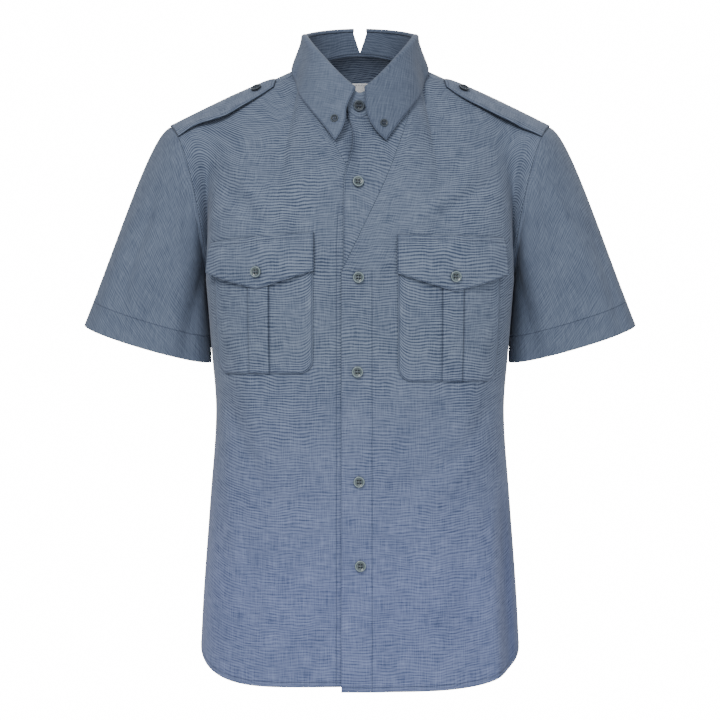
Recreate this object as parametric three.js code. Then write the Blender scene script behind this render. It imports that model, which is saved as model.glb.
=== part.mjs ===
// A short-sleeved military shirt, filled out as if worn, with epaulettes, two flapped chest pockets,
// a button-down collar split at the back, and a V-shaped front over a buttoned neck inset.
// Millimetres, +Z up, the wearer faces -Y, so the wearer's left is +X. The origin lies midway between
// the two side neck points, where the shirt rests on the shoulders.
import * as THREE from "three";

// Cloth and gaps
const CLOTH = 1.2; // wall of one layer of shirting
const TURNED = 0.5; // how much a turned or double edge stands above one layer
const LAYER_GAP = 0.8; // between two layers that lie on each other
const SEAM_GAP = 0.15; // half of the gap between two pieces at a seam
const OVERLAP_LIFT = CLOTH + TURNED + LAYER_GAP + 0.2; // the wearer's left front lies on the right one
const OVERLAP_FADE = { from: 14, to: 42 }; // where the left front comes down to the general form

// The form: level sections of the body from hem to chest, each from its half width and depths
const SECTIONS = [
  { z: -735, halfWidth: 187, front: 121, back: 116, square: 0.07 },
  { z: -623, halfWidth: 182, front: 124, back: 117, square: 0.07 },
  { z: -509, halfWidth: 174, front: 122, back: 110, square: 0.06 },
  { z: -404, halfWidth: 167, front: 119, back: 101, square: 0.07 },
  { z: -329, halfWidth: 171.8, front: 122, back: 108, square: 0.11 },
  { z: -250, halfWidth: 176.6, front: 126, back: 120, square: 0.15 },
];
const CHEST_Z = -250; // the level of the underarm points
const HEM = { front: -716, side: -677, back: -730, rise: 5.6, rightUp: 6 }; // a shirt tail, higher at the sides
const NECK_ACROSS = 0.33; // share of each panel's width that ends at the neck
const NECK = { halfWidth: 66, front: 84, back: 60, frontDrop: 80, backRise: 20, round: 0.15 };
const SHOULDER_TIP = new THREE.Vector3(222, 4, -71);

// How each line that runs up a panel leaves the chest (rise) and reaches the neck or shoulder (fall)
const FRONT_LINES = [
  { across: 0, riseX: 0, riseY: 0, riseZ: 70, fallX: 0, fallY: -16, fallZ: -56 },
  { across: 0.33, riseX: 0, riseY: 0, riseZ: 80, fallX: 2, fallY: -42, fallZ: -22 },
  { across: 0.6, riseX: 0, riseY: 2, riseZ: 85, fallX: 0, fallY: -48, fallZ: -4 },
  { across: 0.85, riseX: -13, riseY: -14, riseZ: 78, fallX: -5, fallY: -58, fallZ: -7 },
  { across: 1, riseX: -1, riseY: -80, riseZ: 60, fallX: -22, fallY: -74, fallZ: -12 },
];
const BACK_LINES = [
  { across: 0, riseX: 0, riseY: 0, riseZ: 95, fallX: 0, fallY: 34, fallZ: -20 },
  { across: 0.33, riseX: 0, riseY: 0, riseZ: 90, fallX: 2, fallY: 62, fallZ: -6 },
  { across: 0.6, riseX: 0, riseY: 0, riseZ: 88, fallX: 0, fallY: 64, fallZ: -3 },
  { across: 0.85, riseX: -13, riseY: 14, riseZ: 80, fallX: -4, fallY: 64, fallZ: -6 },
  { across: 1, riseX: 0, riseY: 72, riseZ: 66, fallX: -14, fallY: 66, fallZ: -12 },
];

// The largest folds: soft ridges (or troughs, with a negative depth) along lines on each face
const FOLDS = [
  { face: "front", x0: -156, z0: -285, x1: -112, z1: -430, width: 17, depth: 3.5 },
  { face: "front", x0: 154, z0: -290, x1: 110, z1: -440, width: 17, depth: 3.5 },
  { face: "front", x0: -150, z0: -150, x1: -70, z1: -215, width: 16, depth: -3 },
  { face: "front", x0: 150, z0: -150, x1: 70, z1: -215, width: 16, depth: -3 },
  { face: "front", x0: -125, z0: -700, x1: -60, z1: -500, width: 24, depth: 4 },
  { face: "front", x0: 158, z0: -715, x1: 140, z1: -560, width: 14, depth: 6 },
  { face: "front", x0: 118, z0: -715, x1: 112, z1: -590, width: 18, depth: -3 },
  { face: "back", x0: -145, z0: -280, x1: -60, z1: -420, width: 22, depth: 5 },
  { face: "back", x0: 145, z0: -280, x1: 60, z1: -420, width: 22, depth: 5 },
  { face: "back", x0: -95, z0: -720, x1: -80, z1: -430, width: 24, depth: 5 },
  { face: "back", x0: 95, z0: -720, x1: 80, z1: -430, width: 24, depth: 5 },
];

// Seams and edges of the fronts
const YOKE = { front: 0.1, ease: 0.07, back: -100 }; // share of a line, its run-in, height of the back seam
const HEM_BAND = 6; // turned hem of the body
const LEFT_EDGE_X = -21;
const RIGHT_EDGE_X = 8;
const V_TOP_ACROSS = 0.27; // where both V edges start at the neck
const LEFT_V = [
  { z: -242, x: -20 },
  { z: -144, x: 27 },
  { z: -66, x: 54.5 },
  { z: -40, x: 57 },
];
const RIGHT_V = [
  { z: -164, x: -8 },
  { z: -122, x: 15.8 },
  { z: -80, x: 39.6 },
  { z: -44, x: 55 },
];
const LEFT_INSET_EDGE = [
  { z: -242, x: -18.5 },
  { z: -139, x: -18 },
  { z: -117, x: -13 },
  { z: -99, x: -9 },
  { z: -81, x: -9.5 },
  { z: -69, x: -14 },
];

// Sleeves, for the wearer's left; the other is its mirror
const SLEEVE = {
  outer: new THREE.Vector3(322, 4, -302.5), // hem corner away from the body
  inner: new THREE.Vector3(175, 2, -345), // hem corner by the body
  halfDepth: 45,
  hemSag: 7, // how far the front and back of the hem hang below its corners
  seamStep: 3.6, // the first strip beside the armhole stands out from the body
  capRise: 28, // how far the top runs on from the shoulder before it turns down
  underRise: 30,
  hemPull: 110,
  underPull: 40,
  band: 31, // turned hem
};

// Collar: a stand round the neck and two leaves that fold over it, parted at the back
const STAND = { halfWidth: 63, front: 81, back: 62, side: 33, frontDrop: 77, backRise: 15, round: 0.08 };
const NOTCH = { halfWidth: 8.2, foot: 0.14 }; // half its width, and the share of the stand below it
const LEAF = { backTurn: 6.5, frontTurn: 175.5, fold: 2.2, lift: CLOTH + 2.3, rise: 2.9 };
// The leaves' lower edge, by degrees round the neck from the middle of the back, on a face's x and y or z
const LEAF_EDGE = [
  { turn: 6.5, face: "back", x: 11, y: 75 },
  { turn: 35, face: "back", x: 45, y: 61 },
  { turn: 60, face: "back", x: 68, y: 35 },
  { turn: 80, face: "back", x: 76, y: 12 },
  { turn: 89, face: "back", x: 77.5, y: 1 },
  { turn: 99, face: "front", x: 77.5, y: -14 },
  { turn: 115, face: "front", x: 73, z: -24 },
  { turn: 130, face: "front", x: 66, z: -41.5 },
  { turn: 145, face: "front", x: 54.5, z: -60 },
  { turn: 160, face: "front", x: 41.5, z: -78.5 },
  { turn: 175.5, face: "front", x: 29, z: -97 },
];

// How far each leaf's front edge bows towards the middle, by share of the fall from the fold
const LEAF_BOWS = {
  right: [
    { fall: 0, bow: 0 },
    { fall: 0.4, bow: 0.5 },
    { fall: 0.65, bow: 4.5 },
    { fall: 0.85, bow: 4.4 },
    { fall: 1, bow: 1.5 },
  ],
  left: [
    { fall: 0, bow: 0 },
    { fall: 0.25, bow: 6.3 },
    { fall: 0.5, bow: 10 },
    { fall: 0.7, bow: 9.6 },
    { fall: 0.87, bow: 5.5 },
    { fall: 1, bow: 0 },
  ],
};

// Pockets with a box pleat, their flaps, the epaulettes and the label
const POCKET = { width: 124, corner: 16, pleat: 24, pleatRise: 1, top: -222, clear: 0.8 };
const POCKETS = [
  { name: "right", side: -1, inner: 52.5, bottom: -358, flapTop: -199.5, flapSlope: 10 },
  { name: "left", side: 1, inner: 42.5, bottom: -367, flapTop: -202.5, flapSlope: 2 },
];
const FLAP = { width: 130, inset: 1, corner: 43.5, point: 64 };
const EPAULETTE = { innerX: 96, buttonX: 117, halfEnd: 19, halfSeam: 24, tip: 16, belly: 3, forward: 19 };
const LABEL = { width: 50, top: -10, bottom: -52, thickness: 0.8, clear: 1.6 };

// Buttons: four-hole discs with a raised rim
const BUTTON = { radius: 6.4, thickness: 2.6, dish: 0.8, rim: 1.6, sides: 14, clear: 0.6 };
const SMALL_BUTTON = { radius: 4.6, thickness: 2.2, dish: 0.6, rim: 1.2, sides: 14 };
const LEAF_BUTTON = { right: { along: 0.944, down: 6.62 }, left: { along: 0.951, down: 7 } }; // near each tip
const STAND_BUTTON_ACROSS = -0.004;
const FLAP_BUTTON = { right: { x: 114.6, z: -243.5 }, left: { x: 105.6, z: -248.5 } };
const FRONT_BUTTONS = [
  { x: -3.4, z: -144, clear: 1 },
  { x: -1.7, z: -250 },
  { x: -2.8, z: -356 },
  { x: -1, z: -480 },
  { x: 0.5, z: -574 },
];

// How finely each piece is divided
const ROWS = { lower: 10, upper: 10, yokeFront: 2, yokeBack: 6, backUpper: 7, sleeve: 9, stand: 3, leaf: 6 };
const COLUMNS = { front: 12, inset: 6, backNeck: 4, leaf: 16, flap: 14, epaulette: 12 };
const FIRST_UPPER_ROW = 0.036; // puts a row at the foot of the left V
const CLOTH_COLOUR = 0x66788f;

const mix = (a, b, t) => a + (b - a) * t;
const ease = (t) => {
  const s = Math.min(1, Math.max(0, t));
  return s * s * (3 - 2 * s);
};

// A row of a table at a value of its key column, by cubic pieces through the rows
function rowAt(table, key, value) {
  const up = table[table.length - 1][key] > table[0][key] ? 1 : -1;
  let k = 0;
  while (k < table.length - 2 && (value - table[k + 1][key]) * up > 0) k += 1;
  const span = table[k + 1][key] - table[k][key];
  const t = Math.min(1, Math.max(0, (value - table[k][key]) / span));
  const row = {};
  for (const name of Object.keys(table[k])) {
    if (typeof table[k][name] !== "number") continue;
    const slope = (i) => {
      const low = table[Math.max(0, i - 1)];
      const high = table[Math.min(table.length - 1, i + 1)];
      return ((high[name] - low[name]) / (high[key] - low[key])) * span;
    };
    const a = table[k][name];
    const b = table[k + 1][name];
    const rise = 3 * (b - a) - 2 * slope(k) - slope(k + 1);
    const bend = 2 * (a - b) + slope(k) + slope(k + 1);
    row[name] = a + slope(k) * t + rise * t ** 2 + bend * t ** 3;
  }
  return row;
}

// The value between low and high at which a rising function reaches a target
function solve(rising, target, low, high) {
  for (let n = 0; n < 30; n += 1) {
    const middle = (low + high) / 2;
    if (rising(middle) < target) low = middle;
    else high = middle;
  }
  return (low + high) / 2;
}

function bezier(p0, p1, p2, p3, t) {
  const s = 1 - t;
  return new THREE.Vector3()
    .addScaledVector(p0, s ** 3)
    .addScaledVector(p1, 3 * s * s * t)
    .addScaledVector(p2, 3 * s * t * t)
    .addScaledVector(p3, t ** 3);
}

// The body below the chest: a squarish ellipse at each height. across is -1 and 1 at the side seams
function ringPoint(face, across, z) {
  const section = rowAt(SECTIONS, "z", z);
  const angle = (across * Math.PI) / 2;
  const swell = 1 + section.square * Math.sin(2 * angle) ** 2;
  const depth = face === "front" ? -section.front : section.back;
  return new THREE.Vector3(section.halfWidth * Math.sin(angle) * swell, depth * Math.cos(angle) * swell, z);
}

function hemZ(face, across) {
  const lift = Math.abs(Math.sin((across * Math.PI) / 2)) ** HEM.rise;
  return mix(face === "front" ? HEM.front : HEM.back, HEM.side, lift);
}

function neckPoint(face, across) {
  const angle = ((across / NECK_ACROSS) * Math.PI) / 2;
  const x = NECK.halfWidth * Math.sin(angle);
  if (face === "back") return new THREE.Vector3(x, NECK.back * Math.cos(angle), NECK.backRise * Math.cos(angle) ** 2);
  const drop = NECK.frontDrop * Math.max(0, 1 - Math.hypot(Math.sin(angle), NECK.round)) ** 0.9;
  return new THREE.Vector3(x, -NECK.front * Math.cos(angle), -drop);
}

// The neck edge, or the shoulder's ridge beyond the side neck point
function topPoint(face, across) {
  const out = (Math.abs(across) - NECK_ACROSS) / (1 - NECK_ACROSS);
  if (out <= 0) return neckPoint(face, across);
  const side = Math.sign(across);
  return new THREE.Vector3(
    side * mix(NECK.halfWidth, SHOULDER_TIP.x, out),
    SHOULDER_TIP.y * out,
    SHOULDER_TIP.z * out,
  );
}

// The body above the chest: each line runs up from the chest in one curve to the neck or the ridge
function upperPoint(face, across, t) {
  const line = rowAt(face === "front" ? FRONT_LINES : BACK_LINES, "across", Math.abs(across));
  const side = Math.sign(across);
  const chest = ringPoint(face, across, CHEST_Z);
  const lean = chest.clone().sub(ringPoint(face, across, CHEST_Z - 1));
  const top = topPoint(face, across);
  const rise = chest.clone().addScaledVector(lean, line.riseZ);
  rise.add(new THREE.Vector3(side * line.riseX, line.riseY, 0));
  const fall = top.clone().add(new THREE.Vector3(side * line.fallX, line.fallY, line.fallZ));
  return bezier(chest, rise, fall, top, t);
}

// How far the folds move a point of a face, out of the face
function foldDepth(face, point) {
  let depth = 0;
  for (const fold of FOLDS) {
    if (fold.face !== face) continue;
    const runX = fold.x1 - fold.x0;
    const runZ = fold.z1 - fold.z0;
    const length = Math.hypot(runX, runZ);
    const along = ((point.x - fold.x0) * runX + (point.z - fold.z0) * runZ) / length ** 2;
    const off = ((point.x - fold.x0) * runZ - (point.z - fold.z0) * runX) / length;
    const ends = ease((along + 0.25) / 0.5) * ease((1.25 - along) / 0.5);
    depth += fold.depth * ends * Math.exp(-((off / fold.width) ** 2));
  }
  return depth;
}

// A point of the form. height is 0 at the hem, 1 at the chest, 2 at the neck or the shoulder's ridge
function formPoint(face, across, height) {
  const point =
    height <= 1
      ? ringPoint(face, across, mix(hemZ(face, across), CHEST_Z, height))
      : upperPoint(face, across, height - 1);
  const fade = (1 - Math.abs(across) ** 8) * ease((2 - height) / 0.4);
  point.y += (face === "front" ? -1 : 1) * foldDepth(face, point) * fade;
  return point;
}

function formNormal(face, across, height) {
  const step = 0.002;
  const a = Math.min(1 - step, Math.max(step - 1, across));
  const h = Math.min(2 - step, Math.max(step, height));
  const dx = formPoint(face, a + step, h).sub(formPoint(face, a - step, h));
  const dz = formPoint(face, a, h + step).sub(formPoint(face, a, h - step));
  return dx.cross(dz).normalize().multiplyScalar(face === "front" ? 1 : -1);
}

// The height along a line at which it reaches z
function heightAt(face, across, z) {
  if (z <= CHEST_Z) return (z - hemZ(face, across)) / (CHEST_Z - hemZ(face, across));
  return solve((h) => upperPoint(face, across, h - 1).z, z, 1, 2);
}

// The place on a face at a given x and one other coordinate, "y" or "z", stepped to from a guess
function findPlace(face, x, key, value, guess) {
  const step = 0.003;
  let [across, height] = [(x / 178) * 0.8, guess];
  for (let n = 0; n < 25; n += 1) {
    const here = formPoint(face, across, height);
    const beside = formPoint(face, across + step, height).sub(here).divideScalar(step);
    const above = formPoint(face, across, height - step).sub(here).divideScalar(-step);
    const [missX, missKey] = [x - here.x, value - here[key]];
    if (Math.abs(missX) + Math.abs(missKey) < 1e-4) break;
    const scale = beside.x * above[key] - above.x * beside[key];
    const moveAcross = (missX * above[key] - missKey * above.x) / scale;
    const moveUp = (beside.x * missKey - beside[key] * missX) / scale;
    across = Math.min(0.99, Math.max(-0.99, across + Math.min(0.1, Math.max(-0.1, moveAcross))));
    height = Math.min(2, Math.max(0, height + Math.min(0.15, Math.max(-0.15, moveUp))));
  }
  return { point: formPoint(face, across, height), normal: formNormal(face, across, height), across, height };
}

const placeAt = (face, x, z) => findPlace(face, x, "z", z, z < CHEST_Z ? (z - HEM.front) / (CHEST_Z - HEM.front) : 1.4);

// Rows of the fronts and back, from the hem up
const yokeFrontShare = (across) => 1 - YOKE.front * ease((Math.abs(across) - NECK_ACROSS) / YOKE.ease);
const lowerHeights = [0, HEM_BAND / (CHEST_Z - HEM.front)];
for (let k = 1; k < ROWS.lower; k += 1) lowerHeights.push(mix(lowerHeights[1], 1, k / (ROWS.lower - 1)));
const upperShares = [0, FIRST_UPPER_ROW];
for (let k = 1; k < ROWS.upper; k += 1) {
  upperShares.push(mix(FIRST_UPPER_ROW, 1, 1 - (1 - k / (ROWS.upper - 1)) ** 1.3)); // closer near the neck
}
const CHEST_ROW = lowerHeights.length - 1;
const TOP_ROW = CHEST_ROW + upperShares.length - 1;

const frontHeight = (across, row) =>
  row <= CHEST_ROW ? lowerHeights[row] : 1 + upperShares[row - CHEST_ROW] * yokeFrontShare(across);
const frontRow = (across, row) => formPoint("front", across, frontHeight(across, row));
const backYokeHeight = (across) => heightAt("back", across, YOKE.back);
const backHeight = (across, row) =>
  row <= CHEST_ROW
    ? lowerHeights[row]
    : 1 + ((row - CHEST_ROW) / ROWS.backUpper) * (backYokeHeight(across) - 1);

// Where a front row crosses an edge that is given as x against z, on the side +1 or -1 of the wearer
function acrossAtEdge(side, row, edgeX) {
  return solve((a) => {
    const point = frontRow(side * a, row);
    return side * point.x - edgeX(point.z);
  }, 0, -0.3, NECK_ACROSS);
}

const vTop = frontRow(V_TOP_ACROSS, TOP_ROW);
const edgeOf = (table) => (z) => rowAt(table, "z", z).x;
const leftV = edgeOf([...LEFT_V, { z: vTop.z, x: vTop.x }]);
const rightV = edgeOf([...RIGHT_V, { z: vTop.z, x: vTop.x }]);
const leftInset = edgeOf(LEFT_INSET_EDGE);
const LEFT_TIP_ROW = CHEST_ROW + 1;
const RIGHT_TIP_ROW = CHEST_ROW + 4;

function vAcross(side, row) {
  if (row === TOP_ROW) return V_TOP_ACROSS;
  const tipRow = side > 0 ? LEFT_TIP_ROW : RIGHT_TIP_ROW;
  if (row < tipRow) return acrossAtEdge(side, row, () => (side > 0 ? LEFT_EDGE_X : -RIGHT_EDGE_X));
  return acrossAtEdge(side, row, side > 0 ? leftV : rightV);
}

function insetAcross(side, row) {
  if (row === (side > 0 ? LEFT_TIP_ROW : RIGHT_TIP_ROW)) return vAcross(side, row);
  return acrossAtEdge(side, row, side > 0 ? leftInset : () => -RIGHT_EDGE_X);
}

// The left front lies on the right one near the middle, and comes down to the form beyond it
const overlapLift = (x) => OVERLAP_LIFT * (1 - ease((x - OVERLAP_FADE.from) / (OVERLAP_FADE.to - OVERLAP_FADE.from)));

// Sheets: grids of points on the garment's form, each with its lift off the form
function sheet(columns, rows, flip, at) {
  const grid = [];
  for (let i = 0; i <= columns; i += 1) {
    const line = [];
    for (let j = 0; j <= rows; j += 1) line.push({ lift: 0, raise: 0, ...at(i, j) });
    grid.push(line);
  }
  return { grid, flip };
}

// The columns of a front share the yoke's stations at its top row
const neckShare = (NECK_ACROSS - V_TOP_ACROSS) / (1 - V_TOP_ACROSS);
const frontShares = [0];
for (let k = 0; k < COLUMNS.front; k += 1) frontShares.push(mix(neckShare, 1, k / (COLUMNS.front - 1)));
const yokeStations = frontShares.slice(1).map((share) => mix(V_TOP_ACROSS, 1, share));
const neckStations = [];
const notchAcross = (Math.asin(NOTCH.halfWidth / NECK.halfWidth) / (Math.PI / 2)) * NECK_ACROSS;
for (let k = 1 - COLUMNS.backNeck; k < COLUMNS.backNeck; k += 1) {
  if (k === 0) neckStations.push(-notchAcross, 0, notchAcross);
  else neckStations.push((k / COLUMNS.backNeck) * NECK_ACROSS);
}
const backStations = [...yokeStations.map((a) => -a).reverse(), ...neckStations, ...yokeStations];

function frontSheet(side) {
  return sheet(COLUMNS.front, TOP_ROW, side < 0, (i, j) => {
    const point = frontRow(side * mix(vAcross(side, j), 1, frontShares[i]), j);
    if (side < 0 && j < 3) point.z += HEM.rightUp * (1 - ease(frontShares[i] * 1.2)) * (j < 2 ? 1 : 0.5);
    return { point, lift: side > 0 ? overlapLift(point.x) : 0, raise: j <= 1 ? TURNED : 0 };
  });
}

function insetSheet(side) {
  const tipRow = side > 0 ? LEFT_TIP_ROW : RIGHT_TIP_ROW;
  return sheet(COLUMNS.inset, TOP_ROW - tipRow, side < 0, (i, j) => {
    const row = tipRow + j;
    const across = mix(insetAcross(side, row), vAcross(side, row), i / COLUMNS.inset);
    const point = frontRow(side * across, row);
    return { point, lift: side > 0 ? overlapLift(point.x) : 0 };
  });
}

const backSheet = sheet(backStations.length - 1, CHEST_ROW + ROWS.backUpper, true, (i, j) => ({
  point: formPoint("back", backStations[i], backHeight(backStations[i], j)),
  raise: j <= 1 ? TURNED : 0,
}));

const yokeSheet = sheet(backStations.length - 1, ROWS.yokeFront + ROWS.yokeBack, false, (i, j) => {
  const across = backStations[i];
  if (j > ROWS.yokeFront || Math.abs(across) < NECK_ACROSS) {
    const down = Math.max(0, j - ROWS.yokeFront) / ROWS.yokeBack;
    return { point: formPoint("back", across, mix(2, backYokeHeight(across), down)) };
  }
  return { point: formPoint("front", across, 1 + mix(yokeFrontShare(across), 1, j / ROWS.yokeFront)) };
});

// The armhole runs up the front, over the yoke and down the back, through the panels' own points
function armhole(side) {
  const last = side > 0 ? backStations.length - 1 : 0;
  const ring = [];
  for (let j = CHEST_ROW; j < TOP_ROW; j += 1) ring.push(frontRow(side, j));
  for (let j = 0; j < ROWS.yokeFront + ROWS.yokeBack; j += 1) ring.push(yokeSheet.grid[last][j].point);
  for (let j = CHEST_ROW + ROWS.backUpper; j >= CHEST_ROW; j -= 1) ring.push(backSheet.grid[last][j].point);
  return ring;
}

// A sleeve: each line leaves the armhole outwards and turns down to the hem, which is an ellipse
function sleeveSheet(side) {
  const ring = armhole(side);
  const top = CHEST_ROW + (TOP_ROW - CHEST_ROW) + ROWS.yokeFront - CHEST_ROW;
  const lengths = [0];
  for (let k = 1; k < ring.length; k += 1) lengths.push(lengths[k - 1] + ring[k].distanceTo(ring[k - 1]));
  const middle = SLEEVE.outer.clone().add(SLEEVE.inner).multiplyScalar(0.5);
  const half = SLEEVE.outer.clone().sub(SLEEVE.inner).multiplyScalar(0.5);
  const band = SLEEVE.band / SLEEVE.outer.distanceTo(SHOULDER_TIP);
  return sheet(ring.length - 1, ROWS.sleeve, side > 0, (i, j) => {
    const start = ring[i].clone();
    start.x *= side;
    const share =
      i <= top
        ? 1 - lengths[i] / lengths[top]
        : (lengths[i] - lengths[top]) / (lengths[ring.length - 1] - lengths[top]);
    const angle = share * Math.PI;
    const under = (1 - Math.cos(angle)) / 2; // 0 along the top, 1 along the underarm
    const end = middle.clone().addScaledVector(half, Math.cos(angle));
    end.y += (i <= top ? -1 : 1) * SLEEVE.halfDepth * Math.sin(angle);
    end.z -= SLEEVE.hemSag * Math.sin(angle);
    const out = new THREE.Vector3(mix(0.8, 1, under), 0, mix(-0.6, 0, under));
    const down = new THREE.Vector3(mix(0.37, 0, under), 0, mix(-0.93, -1, under));
    const foot = start.clone().addScaledVector(out, SLEEVE.seamStep + 1.5 * Math.sin(angle));
    const turn = new THREE.Vector3(mix(out.x, 0, under), 0, mix(out.z, -1, under));
    const leave = foot.clone().addScaledVector(turn, mix(SLEEVE.capRise, SLEEVE.underRise, under));
    const arrive = end.clone().addScaledVector(down, -mix(SLEEVE.hemPull, SLEEVE.underPull, under));
    const last = ROWS.sleeve - 1;
    const t = j === ROWS.sleeve ? 1 : (1 - band) * ((j - 1) / (last - 1)) ** 1.15;
    const point = bezier(foot, leave, arrive, end, t);
    point.x *= side;
    return { point: j === 0 ? ring[i] : point, raise: j >= last ? TURNED : 0 };
  });
}

// The neck ring, from the right front's edge round the back to the left front's edge
const rightInsetSheet = insetSheet(-1);
const leftInsetSheet = insetSheet(1);
const insetTop = (side) => {
  const stations = [];
  for (let i = 0; i <= COLUMNS.inset; i += 1) {
    stations.push(side * mix(insetAcross(side, TOP_ROW), V_TOP_ACROSS, i / COLUMNS.inset));
  }
  return stations.map((across) => ({ face: "front", across }));
};
const neckRing = [
  ...insetTop(-1),
  ...[-NECK_ACROSS, ...neckStations].map((across) => ({ face: "back", across })),
  { face: "front", across: NECK_ACROSS },
  ...insetTop(1).reverse(),
];

function standTop(face, across) {
  const angle = ((across / NECK_ACROSS) * Math.PI) / 2;
  const x = STAND.halfWidth * Math.sin(angle);
  if (face === "back") {
    const rise = STAND.side + STAND.backRise * Math.abs(Math.cos(angle)) ** 1.2;
    return new THREE.Vector3(x, STAND.back * Math.cos(angle), rise);
  }
  const drop = STAND.side - STAND.frontDrop * Math.max(0, 1 - Math.hypot(Math.sin(angle), STAND.round)) ** 0.8;
  return new THREE.Vector3(x, -STAND.front * Math.cos(angle), drop);
}

const standSheet = sheet(neckRing.length - 1, ROWS.stand, true, (i, j) => {
  const { face, across } = neckRing[i];
  const bottom = neckPoint(face, across);
  const inNotch = face === "back" && Math.abs(across) < notchAcross;
  const tall = inNotch ? NOTCH.foot : 1;
  const onLeft = i > neckRing.length - 2 - COLUMNS.inset;
  const point = bottom.clone().lerp(standTop(face, across), (j / ROWS.stand) * tall);
  return { point, lift: onLeft ? overlapLift(bottom.x) : 0 };
});

// A leaf: rows roll over the stand's top edge, then fall to an edge that lies on the yoke and the front
const leafEdge = LEAF_EDGE.map(({ turn, face, x, y, z }) => {
  const place = y === undefined ? findPlace(face, x, "z", z, 1.8) : findPlace(face, x, "y", y, 1.95);
  const { x: footX, y: footY, z: footZ } = place.point.addScaledVector(place.normal, LEAF.lift);
  return { turn, x: footX, y: footY, z: footZ };
});

function leafPoint(side, along, down) {
  const degrees = mix(LEAF.backTurn, LEAF.frontTurn, along);
  const turn = (degrees * Math.PI) / 180;
  const face = degrees < 90 ? "back" : "front";
  const across = (NECK_ACROSS * Math.min(degrees, 180 - degrees)) / 90;
  const top = standTop(face, across);
  const out = new THREE.Vector3(Math.sin(turn), Math.cos(turn), 0);
  const lift = face === "front" ? overlapLift(top.x) : 0;
  const start = top.addScaledVector(out, lift).add(new THREE.Vector3(0, 0, LEAF.rise));
  if (down === 0) return start;
  const crest = start.clone().addScaledVector(out, CLOTH + LEAF.fold / 2).add(new THREE.Vector3(0, 0, 0.6));
  if (down === 1) return crest;
  const shoulder = crest.clone().addScaledVector(out, LEAF.fold).add(new THREE.Vector3(0, 0, -LEAF.fold));
  const { x, y, z } = rowAt(leafEdge, "turn", degrees);
  const foot = new THREE.Vector3(x, y, z);
  const front = ease((along - 0.6) / 0.4);
  const leave = shoulder.clone().add(new THREE.Vector3(mix(0, 9, front), 0, -mix(10, 16, front)));
  leave.addScaledVector(out, mix(0.5, 2, front));
  const arrive = foot.clone().add(new THREE.Vector3(-mix(0, 8, front), 0, mix(12, 22, front)));
  arrive.addScaledVector(out, mix(-2, 2, front));
  const fall = (down - 2) / ROWS.leaf;
  const point = bezier(shoulder, leave, arrive, foot, fall);
  point.x -= rowAt(LEAF_BOWS[side < 0 ? "right" : "left"], "fall", fall).bow * ease((along - 0.8) / 0.2);
  return point;
}

function leafSheet(side) {
  return sheet(COLUMNS.leaf, ROWS.leaf + 2, side < 0, (i, j) => {
    const point = leafPoint(side, i / COLUMNS.leaf, j);
    point.x *= side;
    return { point };
  });
}

// Points of a front at one height, at distances outwards from an inner edge
function frontRun(side, inner, z, distances) {
  const start = Math.abs(placeAt("front", side * inner, z).across);
  const pointAt = (a) => formPoint("front", side * a, heightAt("front", side * a, z));
  const steps = 40;
  const stations = [{ a: start, length: 0 }];
  let last = pointAt(start);
  for (let k = 1; k <= steps; k += 1) {
    const a = mix(start, 0.995, k / steps);
    const next = pointAt(a);
    stations.push({ a, length: stations[k - 1].length + next.distanceTo(last) });
    last = next;
  }
  return distances.map((distance) => {
    const k = Math.max(1, stations.findIndex(({ length }) => length >= distance));
    const [before, after] = [stations[k - 1], stations[k]];
    return pointAt(mix(before.a, after.a, (distance - before.length) / (after.length - before.length)));
  });
}

const frontPlace = (side, inner, z, distance) => frontRun(side, inner, z, [distance])[0];

// A patch pocket: stations across in mm from its inner edge, with close pairs at the pleat's edges
function pocketSheet({ side, inner, bottom }) {
  const { width, corner, pleat } = POCKET;
  const pleatFrom = (width - pleat) / 2;
  const pleatTo = (width + pleat) / 2;
  const half = [0, corner * 0.3, corner * 0.65, corner, corner * 1.7, corner * 2.4, pleatFrom];
  const middle = [pleatFrom + 0.6, (pleatFrom + width / 2) / 2, width / 2, (pleatTo + width / 2) / 2, pleatTo - 0.6];
  const stations = [...half, ...middle, ...half.map((d) => width - d).reverse()];
  const rows = 6;
  return sheet(stations.length - 1, rows, side < 0, (i, j) => {
    const inward = corner - Math.min(corner, stations[i], width - stations[i]);
    const foot = bottom + corner - Math.sqrt(corner ** 2 - inward ** 2);
    const z = mix(foot, POCKET.top, j / rows);
    const onPleat = stations[i] > pleatFrom && stations[i] < pleatTo;
    const point = frontPlace(side, inner, z, stations[i]);
    const lift = CLOTH + POCKET.clear + (side > 0 ? overlapLift(point.x) : 0);
    return { point, lift, raise: onPleat ? POCKET.pleatRise : 0 };
  });
}

// A flap: sewn above the pocket on a line that may slope, it hangs over it to a point in the middle
function flapSheet({ side, inner, flapTop, flapSlope }) {
  const rows = 4;
  const clear = 2 * CLOTH + POCKET.clear + POCKET.pleatRise + LAYER_GAP;
  return sheet(COLUMNS.flap, rows, side < 0, (i, j) => {
    const share = i / COLUMNS.flap;
    const length = mix(FLAP.corner, FLAP.point, 1 - Math.abs(2 * share - 1));
    const down = 1 - j / rows;
    const z = mix(flapTop - flapSlope * share, flapTop - length, down);
    const point = frontPlace(side, inner - FLAP.inset, z, share * FLAP.width);
    const sewn = side > 0 ? overlapLift(point.x) : 0;
    const lift = mix(CLOTH + 2 * POCKET.clear, clear, ease(down / 0.3)) + 5 * down * ease((share - 0.6) / 0.4);
    return { point, lift: lift + sewn };
  });
}

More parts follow.
